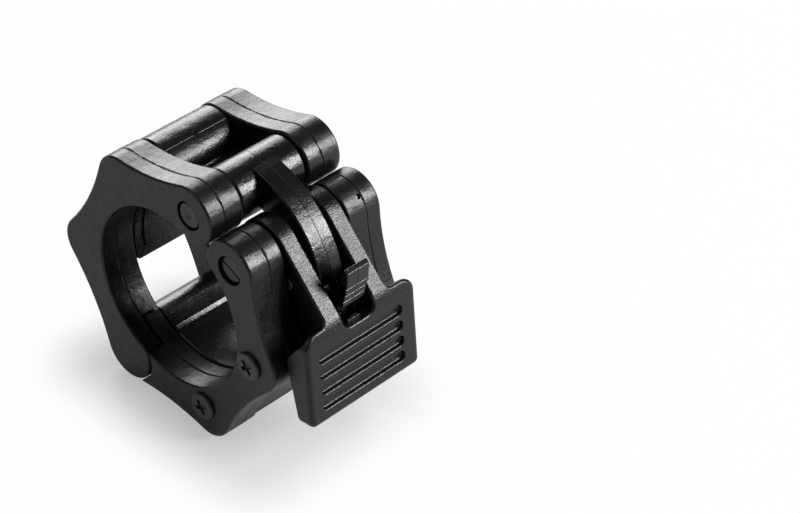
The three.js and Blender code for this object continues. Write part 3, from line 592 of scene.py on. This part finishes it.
LATCH_PIN = complex(38.3535, 9.3529)
HOOK_WAY = polar(1, 214)
by_hook = axes(LATCH_PIN, HOOK_WAY, -1j * HOOK_WAY)
CLASP = clasp_outline().moved(lambda point: np.conj(point) * MOUTH, mirrored=True)
body_levels = edge_levels(-MIDDLE_REACH, MIDDLE_REACH, 0.7, groove=0.08, draft=0.006)
body = prism("clasp_jaw_body", CLASP, body_levels)
cut(body, rod(LEVER_PIN, 8.8, sides=ROUND_SIDES), rod(LATCH_PIN, 7.0, half=4.3))
root = abs(LATCH_PIN) - BORE_RADIUS - 0.8
nose = [(4.4, 2.6, 0.15), (4.4, 3.6, 0), (root, 3.6, 0), (root, 5.6, 0),
        (2.9, 5.6, 1.0), (2.9, 3.6, 0.15), (3.4, 2.6, 0.15)]
keeper = prism("keeper", polygon(nose[::-1], by_hook), edge_levels(-4, 4, 0.12, groove=0))
body = united("clasp_jaw_body", body, keeper)
fitted(body, "clasp_jaw", "clasp_body")

# %% [markdown]
# ## Link
# The link's barrel turns on its pin between the back jaw's plates. Its arm arches over the lever's hub
# and ends in an eye on the toggle pin. The arm is a band between two arcs of one centre; that centre is
# where circles about the barrel and the eye cross, so the arm's outer arc touches both. A web below the
# arm stops short of the lever's pin, and a fine seam runs along the middle of arm and barrel.

# %% Link
REACH, LINK_RADIUS, EYE_RADIUS, ARM_THICKNESS, WEB_ROOM = 28.7, 7.4, 5, 4.8, 4.6
arch = crossing(arc(LINK_PIN, REACH - LINK_RADIUS), arc(TOGGLE_PIN, REACH - EYE_RADIUS), 0j)
outer, inner, eye = arc(arch, REACH), arc(arch, REACH - ARM_THICKNESS, -1), arc(TOGGLE_PIN, EYE_RADIUS)
eye_top = towards(arch, TOGGLE_PIN, REACH)
tongue = arch + (towards(arch, LINK_PIN, REACH) - arch) * polar(1, -6.5)
round_pin = arc(LEVER_PIN, WEB_ROOM, -1)
web_foot = towards(LEVER_PIN, LINK_PIN, WEB_ROOM)
web_end = crossing(inner, round_pin, LEVER_PIN + polar(WEB_ROOM, 60))
eye_under = crossing(eye, inner, towards(TOGGLE_PIN, arch, 3) - 4)
LINK_ARM = Outline(
    [outer, line(tongue, LINK_PIN), line(LINK_PIN, web_foot), round_pin, inner, eye],
    [eye_top, tongue, LINK_PIN, web_foot, web_end, eye_under],
    step=2.0,
)
link_arm = prism("link_arm", LINK_ARM, edge_levels(-3.8, 3.8, 0.5, groove=-0.12, draft=0.02))
barrel_profile = rounded_bar(LINK_RADIUS, MIDDLE_REACH, 0.7)
middle = len(barrel_profile) // 2
barrel_profile[middle:middle] = [(LINK_RADIUS, -0.08), (LINK_RADIUS - 0.06, 0), (LINK_RADIUS, 0.08)]
link_piece = united("toggle_link", lathe("link_barrel", LINK_PIN, barrel_profile), link_arm)
cut(link_piece, rod(LINK_PIN, 4.2), rod(TOGGLE_PIN, 2.1))
cut(link_piece, bore_cutter, keep=True)
fitted(link_piece, "link", "link")

# %% [markdown]
# ## Lever
# The lever's outer skin is one strip that wraps its hub, runs down the arms, bends, and widens into the
# paddle. It could be pushed and pulled out of a box. Here it is a flat outline laid on a path: a point of
# the outline is (y, s), where s runs along the path, and the path gives each s its place and its outward
# direction. Depth under the skin, edge rounding and the notch for the tab all use that same map.

# %% The lever's path
ARM_WAY, PADDLE_WAY, BEND_TURN = polar(1, -44.6), polar(1, -82.3), 82.3 - 44.6
HUB_RADIUS, BEND_RADIUS, ARM_LENGTH = 8.3, 8.0, 23.75
ARM_OUT, PADDLE_OUT = 1j * ARM_WAY, 1j * PADDLE_WAY
BEND = LEVER_PIN + ARM_OUT * HUB_RADIUS + ARM_WAY * ARM_LENGTH
HALF_BEND = BEND_RADIUS * math.tan(math.radians(BEND_TURN / 2))
BEND_CENTRE = BEND - ARM_WAY * HALF_BEND - ARM_OUT * BEND_RADIUS


def lever_path(s):
    """Places and outward directions at path coordinates: hub circle, arm, bend and paddle in turn."""
    round_hub = ARM_OUT * np.exp(1j * np.maximum(-ARM_LENGTH - s, 0) / HUB_RADIUS)
    turn = np.clip((s + HALF_BEND) / (2 * HALF_BEND), 0, 1)
    in_bend = ARM_OUT * np.exp(-1j * np.radians(BEND_TURN) * turn)
    parts = [s < -ARM_LENGTH, s < -HALF_BEND, s < HALF_BEND]
    place = np.select(
        parts,
        [LEVER_PIN + HUB_RADIUS * round_hub, BEND + ARM_WAY * s, BEND_CENTRE + BEND_RADIUS * in_bend],
        BEND + PADDLE_WAY * s,
    )
    return place, np.where(s < -ARM_LENGTH, round_hub, in_bend)


def on_lever(points, depth):
    """Points (y, minus s) of a flat outline, at a depth under the skin, as places in millimetres."""
    place, out = lever_path(-points.imag)
    return upright(place - out * depth, points.real)


by_paddle = axes(BEND, PADDLE_WAY, PADDLE_OUT)
print("bend of the lever at", np.round(BEND, 2))


# %% Skin of the lever
RUNG = 0.3
ARM_EDGE, NOTCH_EDGE, STRIP_END, PADDLE_TOP = 10.2, 5.2, 44, 0.95
PADDLE_LEFT, PADDLE_RIGHT, PADDLE_FOOT = -18.1, 19.1, -25.9
PADDLE_ROUND, ARM_ROUND_SHARE, NOTCH_ROUND = 1.4, 0.36, 0.7
GROOVE_TOP, GROOVE_PITCH, GROOVE_HALF, GROOVE_REACH = 7.0, 4.6, 1.45, 14.15
GROOVE_DEPTH, GROOVE_ROUND = 1.2, 0.45


def ease(value, low, high):
    """0 below low, 1 above high, and 3 t^2 - 2 t^3 between."""
    t = np.clip((value - low) / (high - low), 0, 1)
    return t * t * (3 - 2 * t)


def laddered(rings, heights):
    """Quads between rings, and on each end a ladder: faces across the ring between mirrored points.

    The ring starts low on its axis of mirroring and reaches it again half-way round. A new face starts
    wherever the height has grown by a RUNG, so a level stretch of the edge stays in one face.
    """
    count, size = rings.shape[:2]
    places, faces = stack(rings)
    faces = faces[:-2]
    half = size // 2
    rise = np.floor((heights[: half + 1] - heights[0]) / RUNG)
    below = heights[half] - heights > RUNG / 3
    rungs = [0, *(i for i in range(1, half) if rise[i] > rise[i - 1] and below[i]), half]
    for base in (0, (count - 1) * size):
        for low, high in zip(rungs, rungs[1:]):
            right = list(range(low, high + 1))
            left = [(size - i) % size for i in reversed(right)]
            loop = list(dict.fromkeys(right + left))
            faces.append([base + i for i in loop])
    return places, faces


def skin_thickness(s):
    """Depth of the skin's back: 0.9 under the arms, a neck, then the paddle's heel and thinner tip."""
    drops = [-60, -3, 1.9, 6.9, 7.4, 7.9, 8.6, 24.3, 25.0, 25.5, 25.8, 25.9]
    return np.interp(s, drops, [0.9, 0.9, 2.3, 6.9, 7.3, 7.55, 7.6, 5.3, 5.1, 4.7, 4.1, 3.7])


def on_skin(sides, **steps):
    """Outline on the skin from its right and left side, with a corner midway at the foot and the top."""
    right, left = sides
    return polygon([(0, right[0][1], 0), *right, (0, right[-1][1], 0), *left[::-1]], **steps)


def skin_side(y, arm):
    """Corners of one side of the skin: the paddle at y, then the arm."""
    paddle = [(y, PADDLE_FOOT, 1.7), (y, PADDLE_TOP, 4.5)]
    return [*paddle, (arm, PADDLE_TOP + 0.1, 2.0), (arm, STRIP_END, 2.0)]


SKIN = on_skin((skin_side(PADDLE_RIGHT, ARM_EDGE), skin_side(PADDLE_LEFT, -ARM_EDGE)), step=5.0, pitch=0.9)


def skin_rings():
    """Front edge rounded by 1.4 mm round the paddle and 0.5 mm along the arms, back edge by 0.35 mm."""
    base = SKIN.ring()
    weight = ARM_ROUND_SHARE + (1 - ARM_ROUND_SHARE) * ease(-base.imag, -3, 2)
    rings = []
    for inset, depth in [(PADDLE_ROUND + 0.2, 0), *quarter(PADDLE_ROUND, 7)]:
        rings.append(on_lever(base + (SKIN.ring(inset) - base) * weight, depth * weight))
    under = skin_thickness(-base.imag)
    for inset, depth in [*quarter(0.35, 3)[::-1], (0.5, 0)]:
        rings.append(on_lever(SKIN.ring(inset), under - depth))
    return np.stack(rings)


skin = make_mesh("lever_skin", *laddered(skin_rings(), SKIN.ring().imag))


def skin_cutter(outline, levels):
    """Cutter that follows the skin: the outline drawn in and sunk as its levels say."""
    rings = np.stack([on_lever(outline.ring(inset), depth) for inset, depth in levels])
    return make_mesh("cutter", *laddered(rings, outline.ring().imag))


def rim(radius, steps):
    """Levels of a rim that opens outwards in a quarter circle."""
    return [(-inset, depth) for inset, depth in quarter(radius, steps)]


notch = on_skin(([(y, -3, 2.5), (y, STRIP_END + 1, 0)] for y in (NOTCH_EDGE, -NOTCH_EDGE)), pitch=0.9)
notch_levels = [(-NOTCH_ROUND, -0.8), *rim(NOTCH_ROUND, 5), (0, 3.4)]
cut(skin, skin_cutter(notch, notch_levels))

groove_floor = [(0.08 + depth, GROOVE_DEPTH - inset) for inset, depth in quarter(GROOVE_ROUND, 6)]
groove_levels = [(-0.25, -0.6), *rim(GROOVE_ROUND, 5), *groove_floor]
for i in range(4):
    low, high = (half - (GROOVE_TOP + GROOVE_PITCH * i) for half in (-GROOVE_HALF, GROOVE_HALF))
    groove = on_skin(([(y, low, 1.4), (y, high, 1.4)] for y in (GROOVE_REACH, -GROOVE_REACH)), step=9.0)
    cut(skin, skin_cutter(groove, groove_levels))

rib = [(3.3, -1.9, 0.12), (3.3, -2.9, 0.12), (2.5, -2.9, 0.12), (2.5, -1.9, 0.12)]
notch_rib = prism("notch_rib", polygon(rib, by_paddle), edge_levels(-2.4, 1.8, 0.15, groove=0))

# %% [markdown]
# The cheeks are the lever's side walls, from the hub to the paddle's heel. They lie 0.14 mm inside the
# skin's edges, so a fine line runs along the arms where skin and cheek meet, as the mould left it.

# %% Cheeks of the lever
UNDER_SKIN, ASIDE = 0.35, 0.14


def cheek_outline():
    """Hub circle, bitten by the bore, then toe, heel, neck and arm, a little under the skin."""
    hub, bend = arc(LEVER_PIN, HUB_RADIUS - UNDER_SKIN), arc(BEND_CENTRE, BEND_RADIUS - UNDER_SKIN)
    toe, heel, neck = polar(30.9, 25), by_paddle(7.35, -6.9), by_paddle(2.4, -0.5)
    foot = towards(LEVER_PIN, toe, hub["radius"])
    arm_top = LEVER_PIN + ARM_OUT * hub["radius"]
    arm_end = BEND_CENTRE + ARM_OUT * bend["radius"]
    bend_end = BEND_CENTRE + PADDLE_OUT * bend["radius"]
    loop = [hub, arc(0, BORE_RADIUS + 0.05, -1), hub, line(foot, toe), line(toe, heel), line(heel, neck),
            line(neck, bend_end), bend, line(arm_end, arm_top)]
    bites = [polar(BORE_RADIUS, angle) for angle in (54, 36)]
    return Outline(loop, [arm_top, *bites, foot, toe, heel, neck, bend_end, arm_end])


CHEEK = cheek_outline()
cheeks = [
    prism("cheek", CHEEK, edge_levels(low + ASIDE, high - ASIDE, 0.5, groove=0))
    for low, high in ((-ARM_EDGE, -NOTCH_EDGE), (NOTCH_EDGE, ARM_EDGE))
]
lever_piece = united("swing_lever", skin, notch_rib, *cheeks)
fitted(lever_piece, "lever", "lever")

# %% [markdown]
# ## Release tab
# The thumb tab stands in the lever's notch. Its side view is drawn as a polygon: a slim tip, three steps
# for the thumb, and a root round the latch pin. A hook under it reaches for the keeper.

# %% Release tab
thumb_corners = [(4.5, 15.7, 0.4), (5.9, 14.8, 0.4)]
for i, height in enumerate((10.2, 7.9, 5.8)):
    out = 5.85 - 0.4 * i
    thumb_corners += [(out, height, 0.11), (out - 0.95, height, 0), (out - 0.35, height - 0.55, 0.12)]
thumb_corners += [(4.7, 3.9, 0.15), (3.1, 3.7, 0), (2.8, -0.8, 0), (-1.5, 1.5, 0), (0.3, 5.3, 3.0)]
thumb_outline = polygon(thumb_corners[::-1], axes(LATCH_PIN, 1, 1j), step=10)
thumb = prism("thumb", thumb_outline, edge_levels(-3.3, 4.0, 0.2, groove=0.14, draft=0.01))
ears = lathe("ears", LATCH_PIN, rounded_bar(3.0, 3.65, 0.4), sides=48)
claw = [(0, 1.2, 0), (4.7, 1.2, 0.2), (4.7, 2.4, 0.15), (6.3, 2.4, 0.3), (6.3, -1.2, 0.6), (0, -1.2, 0)]
hook = prism("hook", polygon(claw, by_hook), edge_levels(-3.6, 3.6, 0.2, groove=0))
tab = united("thumb_tab", thumb, ears, hook)
cut(tab, rod(LATCH_PIN, 1.6, half=8.0, sides=40), rod(LATCH_PIN, 3.3, half=2.05, sides=40))
fitted(tab, "release_tab", "release_tab")

# %% [markdown]
# ## Pins and screws
# The link pin is riveted, so its head has a soft dimple. The lever pin has a fine slot for a screwdriver.
# The clasp jaw's screws are pan-headed, with a cross recess. All are turned pieces, and only the slots and
# crosses need a cut.

# %% Pins
HEAD_RADIUS, SHANK_RADIUS, HEAD_LENGTH, DIMPLE_RADIUS = 3.4, 2.7, 2.4, 1.9


def headed_pin(name, centre, end, dimple=0.0):
    """Pin with a head at each end; a dimple sinks its middle by dimple * (1 - (r / DIMPLE_RADIUS)^2)^2."""
    radii = np.array([0.2, 0.6, 1.0, 1.4, 1.7, DIMPLE_RADIUS])
    sunk = dimple * (1 - (radii / DIMPLE_RADIUS) ** 2) ** 2
    half = [(r, end - d) for r, d in zip(radii, sunk)]
    half += [(2.5, end), (3.05, end), (3.25, end - 0.06), (3.37, end - 0.2), (HEAD_RADIUS, end - 0.4),
             (HEAD_RADIUS, end - HEAD_LENGTH), (SHANK_RADIUS, end - HEAD_LENGTH)]
    return lathe(name, centre, [*[(r, -y) for r, y in half], *half[::-1]])


def slot_cutter(centre, length, width, y_start, y_end, angle):
    """Straight block for a slot, turned in the plane square to the bar."""
    x, z = length / 2, width / 2
    corners = [(-x, -z, 0), (x, -z, 0), (x, z, 0), (-x, z, 0)]
    block = polygon(corners, lambda x, z: centre + polar(1, angle) * complex(x, z))
    return prism("cutter", block, [(0, y_start), (0, y_end)])


link_pin = headed_pin("riveted_pin", LINK_PIN, HALF_DEPTH - 0.3, dimple=0.45)
lever_pin = headed_pin("slotted_pin", LEVER_PIN, HALF_DEPTH - 0.75)
cut(lever_pin, slot_cutter(LEVER_PIN, 8, 0.6, -HALF_DEPTH - 1.4, -HALF_DEPTH + 1.4, -23.5))
toggle = lathe("toggle_bar", TOGGLE_PIN, rounded_bar(1.8, 10.35, 0.35), sides=48)
fitted(link_pin, "back_jaw", "link_pin")
fitted(lever_pin, "clasp_jaw", "lever_pin")
fitted(toggle, "lever", "toggle_pin")

# %% Screws
SCREWS = {"upper": (polar(30, 60 - 65.3), 41), "lower": (polar(30.25, 60 - 124.3), 33)}
PAN_RADIUS, SCREW_RADIUS, RECESS_DEPTH, RECESS_LENGTH, RECESS_WIDTH = 3.8, 1.7, 0.95, 4.3, 1.2


def screw(name, centre, angle, way):
    """Pan head on a shank, with a cross recess of two blocks. The way is -1 for the front face."""
    face, top = HALF_DEPTH + 0.1, HALF_DEPTH + 1.1
    profile = [(0.4, top), (2.8, top), (3.3, top - 0.04), (3.62, top - 0.18), (3.77, top - 0.45),
               (PAN_RADIUS, face + 0.1), (PAN_RADIUS - 0.02, face), (SCREW_RADIUS, face),
               (SCREW_RADIUS, face - 10), (0.3, face - 13)]
    piece = lathe(name, centre, [(radius, way * y) for radius, y in profile], sides=64)
    block = RECESS_LENGTH, RECESS_WIDTH, way * (top - RECESS_DEPTH), way * (top + 1)
    return cut(piece, *[slot_cutter(centre, *block, angle + turn) for turn in (0, 90)])


SCREW_PIECES = []
for end, way in (("front", -1), ("rear", 1)):
    for level, (centre, angle) in SCREWS.items():
        piece = screw(f"pan_screw_{end}_{level}", centre, angle, way)
        SCREW_PIECES.append(piece)
        fitted(piece, "clasp_jaw", f"clasp_screw_{end}_{level}")
bpy.data.objects.remove(bore_cutter)

# %% [markdown]
# ## Finishes
# Every moulding is black nylon, and black plastic is seen almost only by what it reflects, so its grain and
# its gloss matter more than its colour. The shader trees could be wired by hand. Written as sums, they stay
# readable: one class wraps a socket and adds a Math node for each operator.


# %% Shader maths
def maths(operation, reflected=False, clamp=False):
    """A method that adds a Math node; a reflected one has its own socket second."""

    def method(self, other=0.0):
        first, second = (other, self) if reflected else (self, other)
        return self.finish.node("Math", {"operation": operation, "use_clamp": clamp}, {0: first, 1: second})

    return method


class Socket:
    """Output of a shader node, which can be used in sums like a number."""

    def __init__(self, finish, source):
        self.finish, self.source = finish, source

    __add__ = __radd__ = maths("ADD")
    __mul__ = __rmul__ = maths("MULTIPLY")
    __sub__, __rsub__ = maths("SUBTRACT"), maths("SUBTRACT", reflected=True)
    __truediv__, __rtruediv__ = maths("DIVIDE"), maths("DIVIDE", reflected=True)
    __abs__, at_least, clamped = maths("ABSOLUTE"), maths("MAXIMUM"), maths("ADD", clamp=True)


class Finish:
    """A material whose nodes are made by one method."""

    def __init__(self, name):
        self.material = bpy.data.materials.new(name)
        self.material.use_nodes = True
        self.tree = self.material.node_tree
        self.shader = self.tree.nodes["Principled BSDF"]
        self.place = self.node("TexCoord", output="Object")

    def feed(self, entry, value):
        """Link a socket into an entry, or set the entry to a value."""
        if isinstance(value, Socket):
            self.tree.links.new(value.source, entry)
        else:
            entry.default_value = value

    def node(self, kind, settings=(), sockets=(), output=0):
        """Add a node by its type: its settings are set first, then the values or links of its sockets."""
        made = self.tree.nodes.new("ShaderNode" + kind)
        for name, value in dict(settings).items():
            setattr(made, name, value)
        for name, value in dict(sockets).items():
            self.feed(made.inputs[name], value)
        return Socket(self, made.outputs[output])

    def noise(self, size, detail=2.0, stretch=None):
        """Noise about 0.5 with spots of about size millimetres; stretch scales the three directions."""
        place = self.place
        if stretch:
            place = self.node("Mapping", {}, {"Vector": place, "Scale": stretch})
        return self.node("TexNoise", {}, {"Vector": place, "Scale": 1 / (size * MM), "Detail": detail})

    def edges(self, radius):
        """0 on flat ground and up to 1 on edges: how far the rounded normal leans from the true one."""
        rounded = self.node("Bevel", {"samples": 4}, {"Radius": radius * MM})
        true = self.node("NewGeometry", output="Normal")
        return ((1 - self.vector("DOT_PRODUCT", rounded, true, output="Value")) * 3).clamped()

    def vector(self, operation, *values, output=0):
        """Output of a new Vector Math node."""
        return self.node("VectorMath", {"operation": operation}, dict(enumerate(values)), output)

    def blend(self, share, low, high):
        """Colour between two colours."""
        sockets = {0: share, 6: (*low, 1), 7: (*high, 1)}
        return self.node("Mix", {"data_type": "RGBA"}, sockets, output=2)

    def done(self, colour, roughness, height, metallic=0.0):
        """Feed the shader: colour, roughness and a bump whose height is in millimetres."""
        bump = self.node("Bump", {}, {"Strength": 1.0, "Distance": MM, "Height": height})
        for name, value in (("Base Color", colour), ("Roughness", roughness), ("Normal", bump)):
            self.feed(self.shader.inputs[name], value)
        self.shader.inputs["Metallic"].default_value = metallic
        print(self.material.name, "has", len(self.tree.nodes), "nodes")
        return self.material


# %% [markdown]
# The nylon has a fine grain from the mould, broad waves where the plastic shrank, and flow lines along the
# bar. Its edges are a little smoother, and a painted highlight makes them lighter. The plates are satin and
# carry parting lines that wander in width. The moving parts are a little glossier.

# %% Nylon
# The lighter grey is the colour of a painted highlight on the edges, not of wear.
DEEP_BLACK, EDGE_HIGHLIGHT_GREY = (0.001, 0.001, 0.001), (0.03, 0.03, 0.031)
PLATE_BLACK, LINE_BLACK = (0.004, 0.004, 0.004), (0.0, 0.0, 0.0)
MICRON = 0.001
PARTING_AT, PARTING_DEPTH = 16.2, 0.15
NYLON_IOR = 1.42


def nylon(name, roughness, grain, wave, seam=None, spot=0.6, edge_highlight=0.1):
    """Black nylon: roughness of its flats, and heights of grain and waves in micrometres.

    Spot is the size of a grain in millimetres, and the last argument sets how far a painted highlight
    lightens the edges. With a seam, two parting lines run at PARTING_AT from the plane y = -seam, and the
    black is one plain black.
    """
    finish = Finish(name)
    cloud, fine, swell = finish.noise(11, 3), finish.noise(spot, 3), finish.noise(3.2, 1)
    streak = finish.noise(1.1, 2, stretch=(1, 0.12, 1))
    edge_mask = finish.edges(0.35)
    rough = roughness - 0.25 + cloud * 0.2 + fine * 0.2 + streak * 0.1 - edge_mask * 0.08
    height = fine * (grain * MICRON) + swell * (wave * MICRON) + streak * (wave * 0.4 * MICRON)
    if seam is None:
        drift = (cloud * 0.6 + fine * 0.4).clamped()
        # The cloud drift is random tone; the lighter edges are a painted highlight.
        colour = finish.blend(drift * 0.12 + edge_mask * edge_highlight, DEEP_BLACK, EDGE_HIGHLIGHT_GREY)
    else:
        y = finish.node("SeparateXYZ", {}, {"Vector": finish.place}, output="Y") * (1 / MM)
        width = (finish.noise(2.5, 4) * 1.2 - 0.28).at_least(0.05)
        parting = (1 - abs(abs(y + seam) - PARTING_AT) / width).clamped()
        height = height - parting * PARTING_DEPTH
        rough = rough + parting * 0.3
        colour = finish.blend(parting, PLATE_BLACK, LINE_BLACK)
    finish.shader.inputs["IOR"].default_value = NYLON_IOR
    return finish.done(colour, rough, height)


back_nylon = nylon("back_plate_nylon", 0.34, grain=50, wave=140, seam=0.6)
clasp_nylon = nylon("clasp_plate_nylon", 0.34, grain=50, wave=140, seam=-0.6)
body_nylon = nylon("body_nylon", 0.36, grain=50, wave=140)
smooth_nylon = nylon("smooth_nylon", 0.28, grain=65, wave=130)
grained_nylon = nylon("grained_nylon", 0.31, grain=95, wave=60, spot=0.45, edge_highlight=0.9)


# %% Steel
def steel(name, colours, roughness, pitting, metallic):
    """Steel with pitting of a height in micrometres, darker in its pits, and with a painted highlight on
    its edges.
    """
    finish = Finish(name)
    pits, cloud = finish.noise(0.32, 3), finish.noise(4, 2)
    edge_mask = finish.edges(0.2)
    # The edge mask lightens the edges: a painted highlight.
    colour = finish.blend((pits * 1.6 - 0.35 + edge_mask * 0.4).clamped(), *colours)
    rough = roughness - 0.1 + cloud * 0.15 + (1 - pits) * 0.1
    return finish.done(colour, rough, pits * (pitting * MICRON), metallic)


pin_steel = steel("blackened_steel", [(0.02, 0.02, 0.021), (0.06, 0.06, 0.062)], 0.38, 8, 0.4)
screw_steel = steel("speckled_steel", [(0.012, 0.012, 0.013), (0.13, 0.13, 0.135)], 0.42, 26, 0.6)
spring_steel = steel("spring_steel", [(0.35, 0.35, 0.36), (0.62, 0.62, 0.63)], 0.25, 3, 1.0)

# %% Who wears what
WEARS = {
    back_nylon: [PLATES["back_front"], PLATES["back_rear"]],
    clasp_nylon: [PLATES["clasp_front"], PLATES["clasp_rear"]],
    body_nylon: [body],
    smooth_nylon: [saddle, sleeve, link_piece, tab],
    grained_nylon: [lever_piece],
    pin_steel: [link_pin, lever_pin, toggle, model["hinge_pin"], model["latch_pin"]],
    screw_steel: SCREW_PIECES,
    spring_steel: [model["latch_spring"]],
}
for material, pieces in WEARS.items():
    for piece in pieces:
        piece.data.materials.clear()
        piece.data.materials.append(material)
    print(material.name, "on", [piece.name for piece in pieces])

# %% [markdown]
# ## Light and floor
# The photograph's light can be read off the collar: wherever a surface leans so that it mirrors a place
# low behind it, to the right or to the left, it shines, and every other surface stays dark. So two broad
# soft lamps stand behind, one on each side. A weak lamp in front and a grey world fill the rest. The floor
# is a plain pale sheet that the lamps bring to white.

# %% Lamps
AIM = Vector((0, 0, 0.037))


def softbox(name, way, distance, width, height, radiance):
    """Area lamp at a direction from the collar; its power is radiance * pi * area."""
    lamp = bpy.data.objects.new(name, bpy.data.lights.new(name, "AREA"))
    lamp.data.shape = "RECTANGLE"
    lamp.data.size, lamp.data.size_y = width, height
    lamp.data.energy = radiance * math.pi * width * height
    lamp.location = AIM + Vector(way).normalized() * distance
    lamp.rotation_euler = (AIM - lamp.location).to_track_quat("-Z", "Y").to_euler()
    lamp.visible_camera = False
    bpy.context.scene.collection.objects.link(lamp)
    print(name, "gives", round(lamp.data.energy, 1), "W")


softbox("right_lamp", (0.71, 0.523, 0.47), 1.2, 0.32, 0.54, 36)
softbox("left_lamp", (-0.772, 0.523, 0.36), 1.2, 0.5, 0.8, 8.0)
softbox("front_lamp", (-0.35, -0.9, 0.9), 1.5, 1.0, 1.0, 1.15)

WORLD_STRENGTH = 0.12
world = bpy.data.worlds.new("world")
bpy.context.scene.world = world
world.use_nodes = True
background = world.node_tree.nodes["Background"].inputs
background["Color"].default_value = (1, 1, 1, 1)
background["Strength"].default_value = WORLD_STRENGTH
bpy.context.scene.view_settings.view_transform = "Standard"

# %% [markdown]
# The floor keeps the collar's shadow, but further off it has to be white. Where a camera ray or a
# reflection meets it, part of its light is its own: two fifths within the collar's footprint and nearly
# all a little way outside it. Reflections get less of that light, so the black sides stay dark.

# %% Floor
FLOOR_HALF = 2.5
FOOTPRINT, FADE = (0.026, 0.020, 0.0), 0.024
OWN_NEAR, OWN_FAR, IN_REFLECTIONS = 0.4, 0.97, 0.3

paper = Finish("pale_paper")
paper_colour = paper.blend(paper.noise(40, 3), (0.60, 0.60, 0.60), (0.64, 0.64, 0.64))
paper.done(paper_colour, 0.9, paper.noise(2.0, 2) * 0.02)
seen, mirrored, through = (
    paper.node("LightPath", output=f"Is {kind} Ray") for kind in ("Camera", "Glossy", "Transmission")
)
outside = paper.vector("SUBTRACT", paper.vector("ABSOLUTE", paper.place), FOOTPRINT)
away = paper.vector("LENGTH", paper.vector("MAXIMUM", outside, (0.0, 0.0, 0.0)), output="Value")
ramp = {"Value": away, "From Min": 0.0, "From Max": FADE, "To Min": OWN_NEAR, "To Max": OWN_FAR}
own_share = paper.node("MapRange", {"interpolation_type": "SMOOTHSTEP"}, ramp)
share = own_share * (seen + mirrored * IN_REFLECTIONS + through).clamped()
own = paper.node("Emission", {}, {"Strength": 1.0})
surface = Socket(paper, paper.shader.outputs[0])
mixed = paper.node("MixShader", {}, {0: share, 1: surface, 2: own})
paper.feed(paper.tree.nodes["Material Output"].inputs["Surface"], mixed)
corners = np.array([(-1, -1, 0), (1, -1, 0), (1, 1, 0), (-1, 1, 0)]) * FLOOR_HALF / MM
floor = make_mesh("floor", corners, [[0, 1, 2, 3]])
floor.data.materials.append(paper.material)
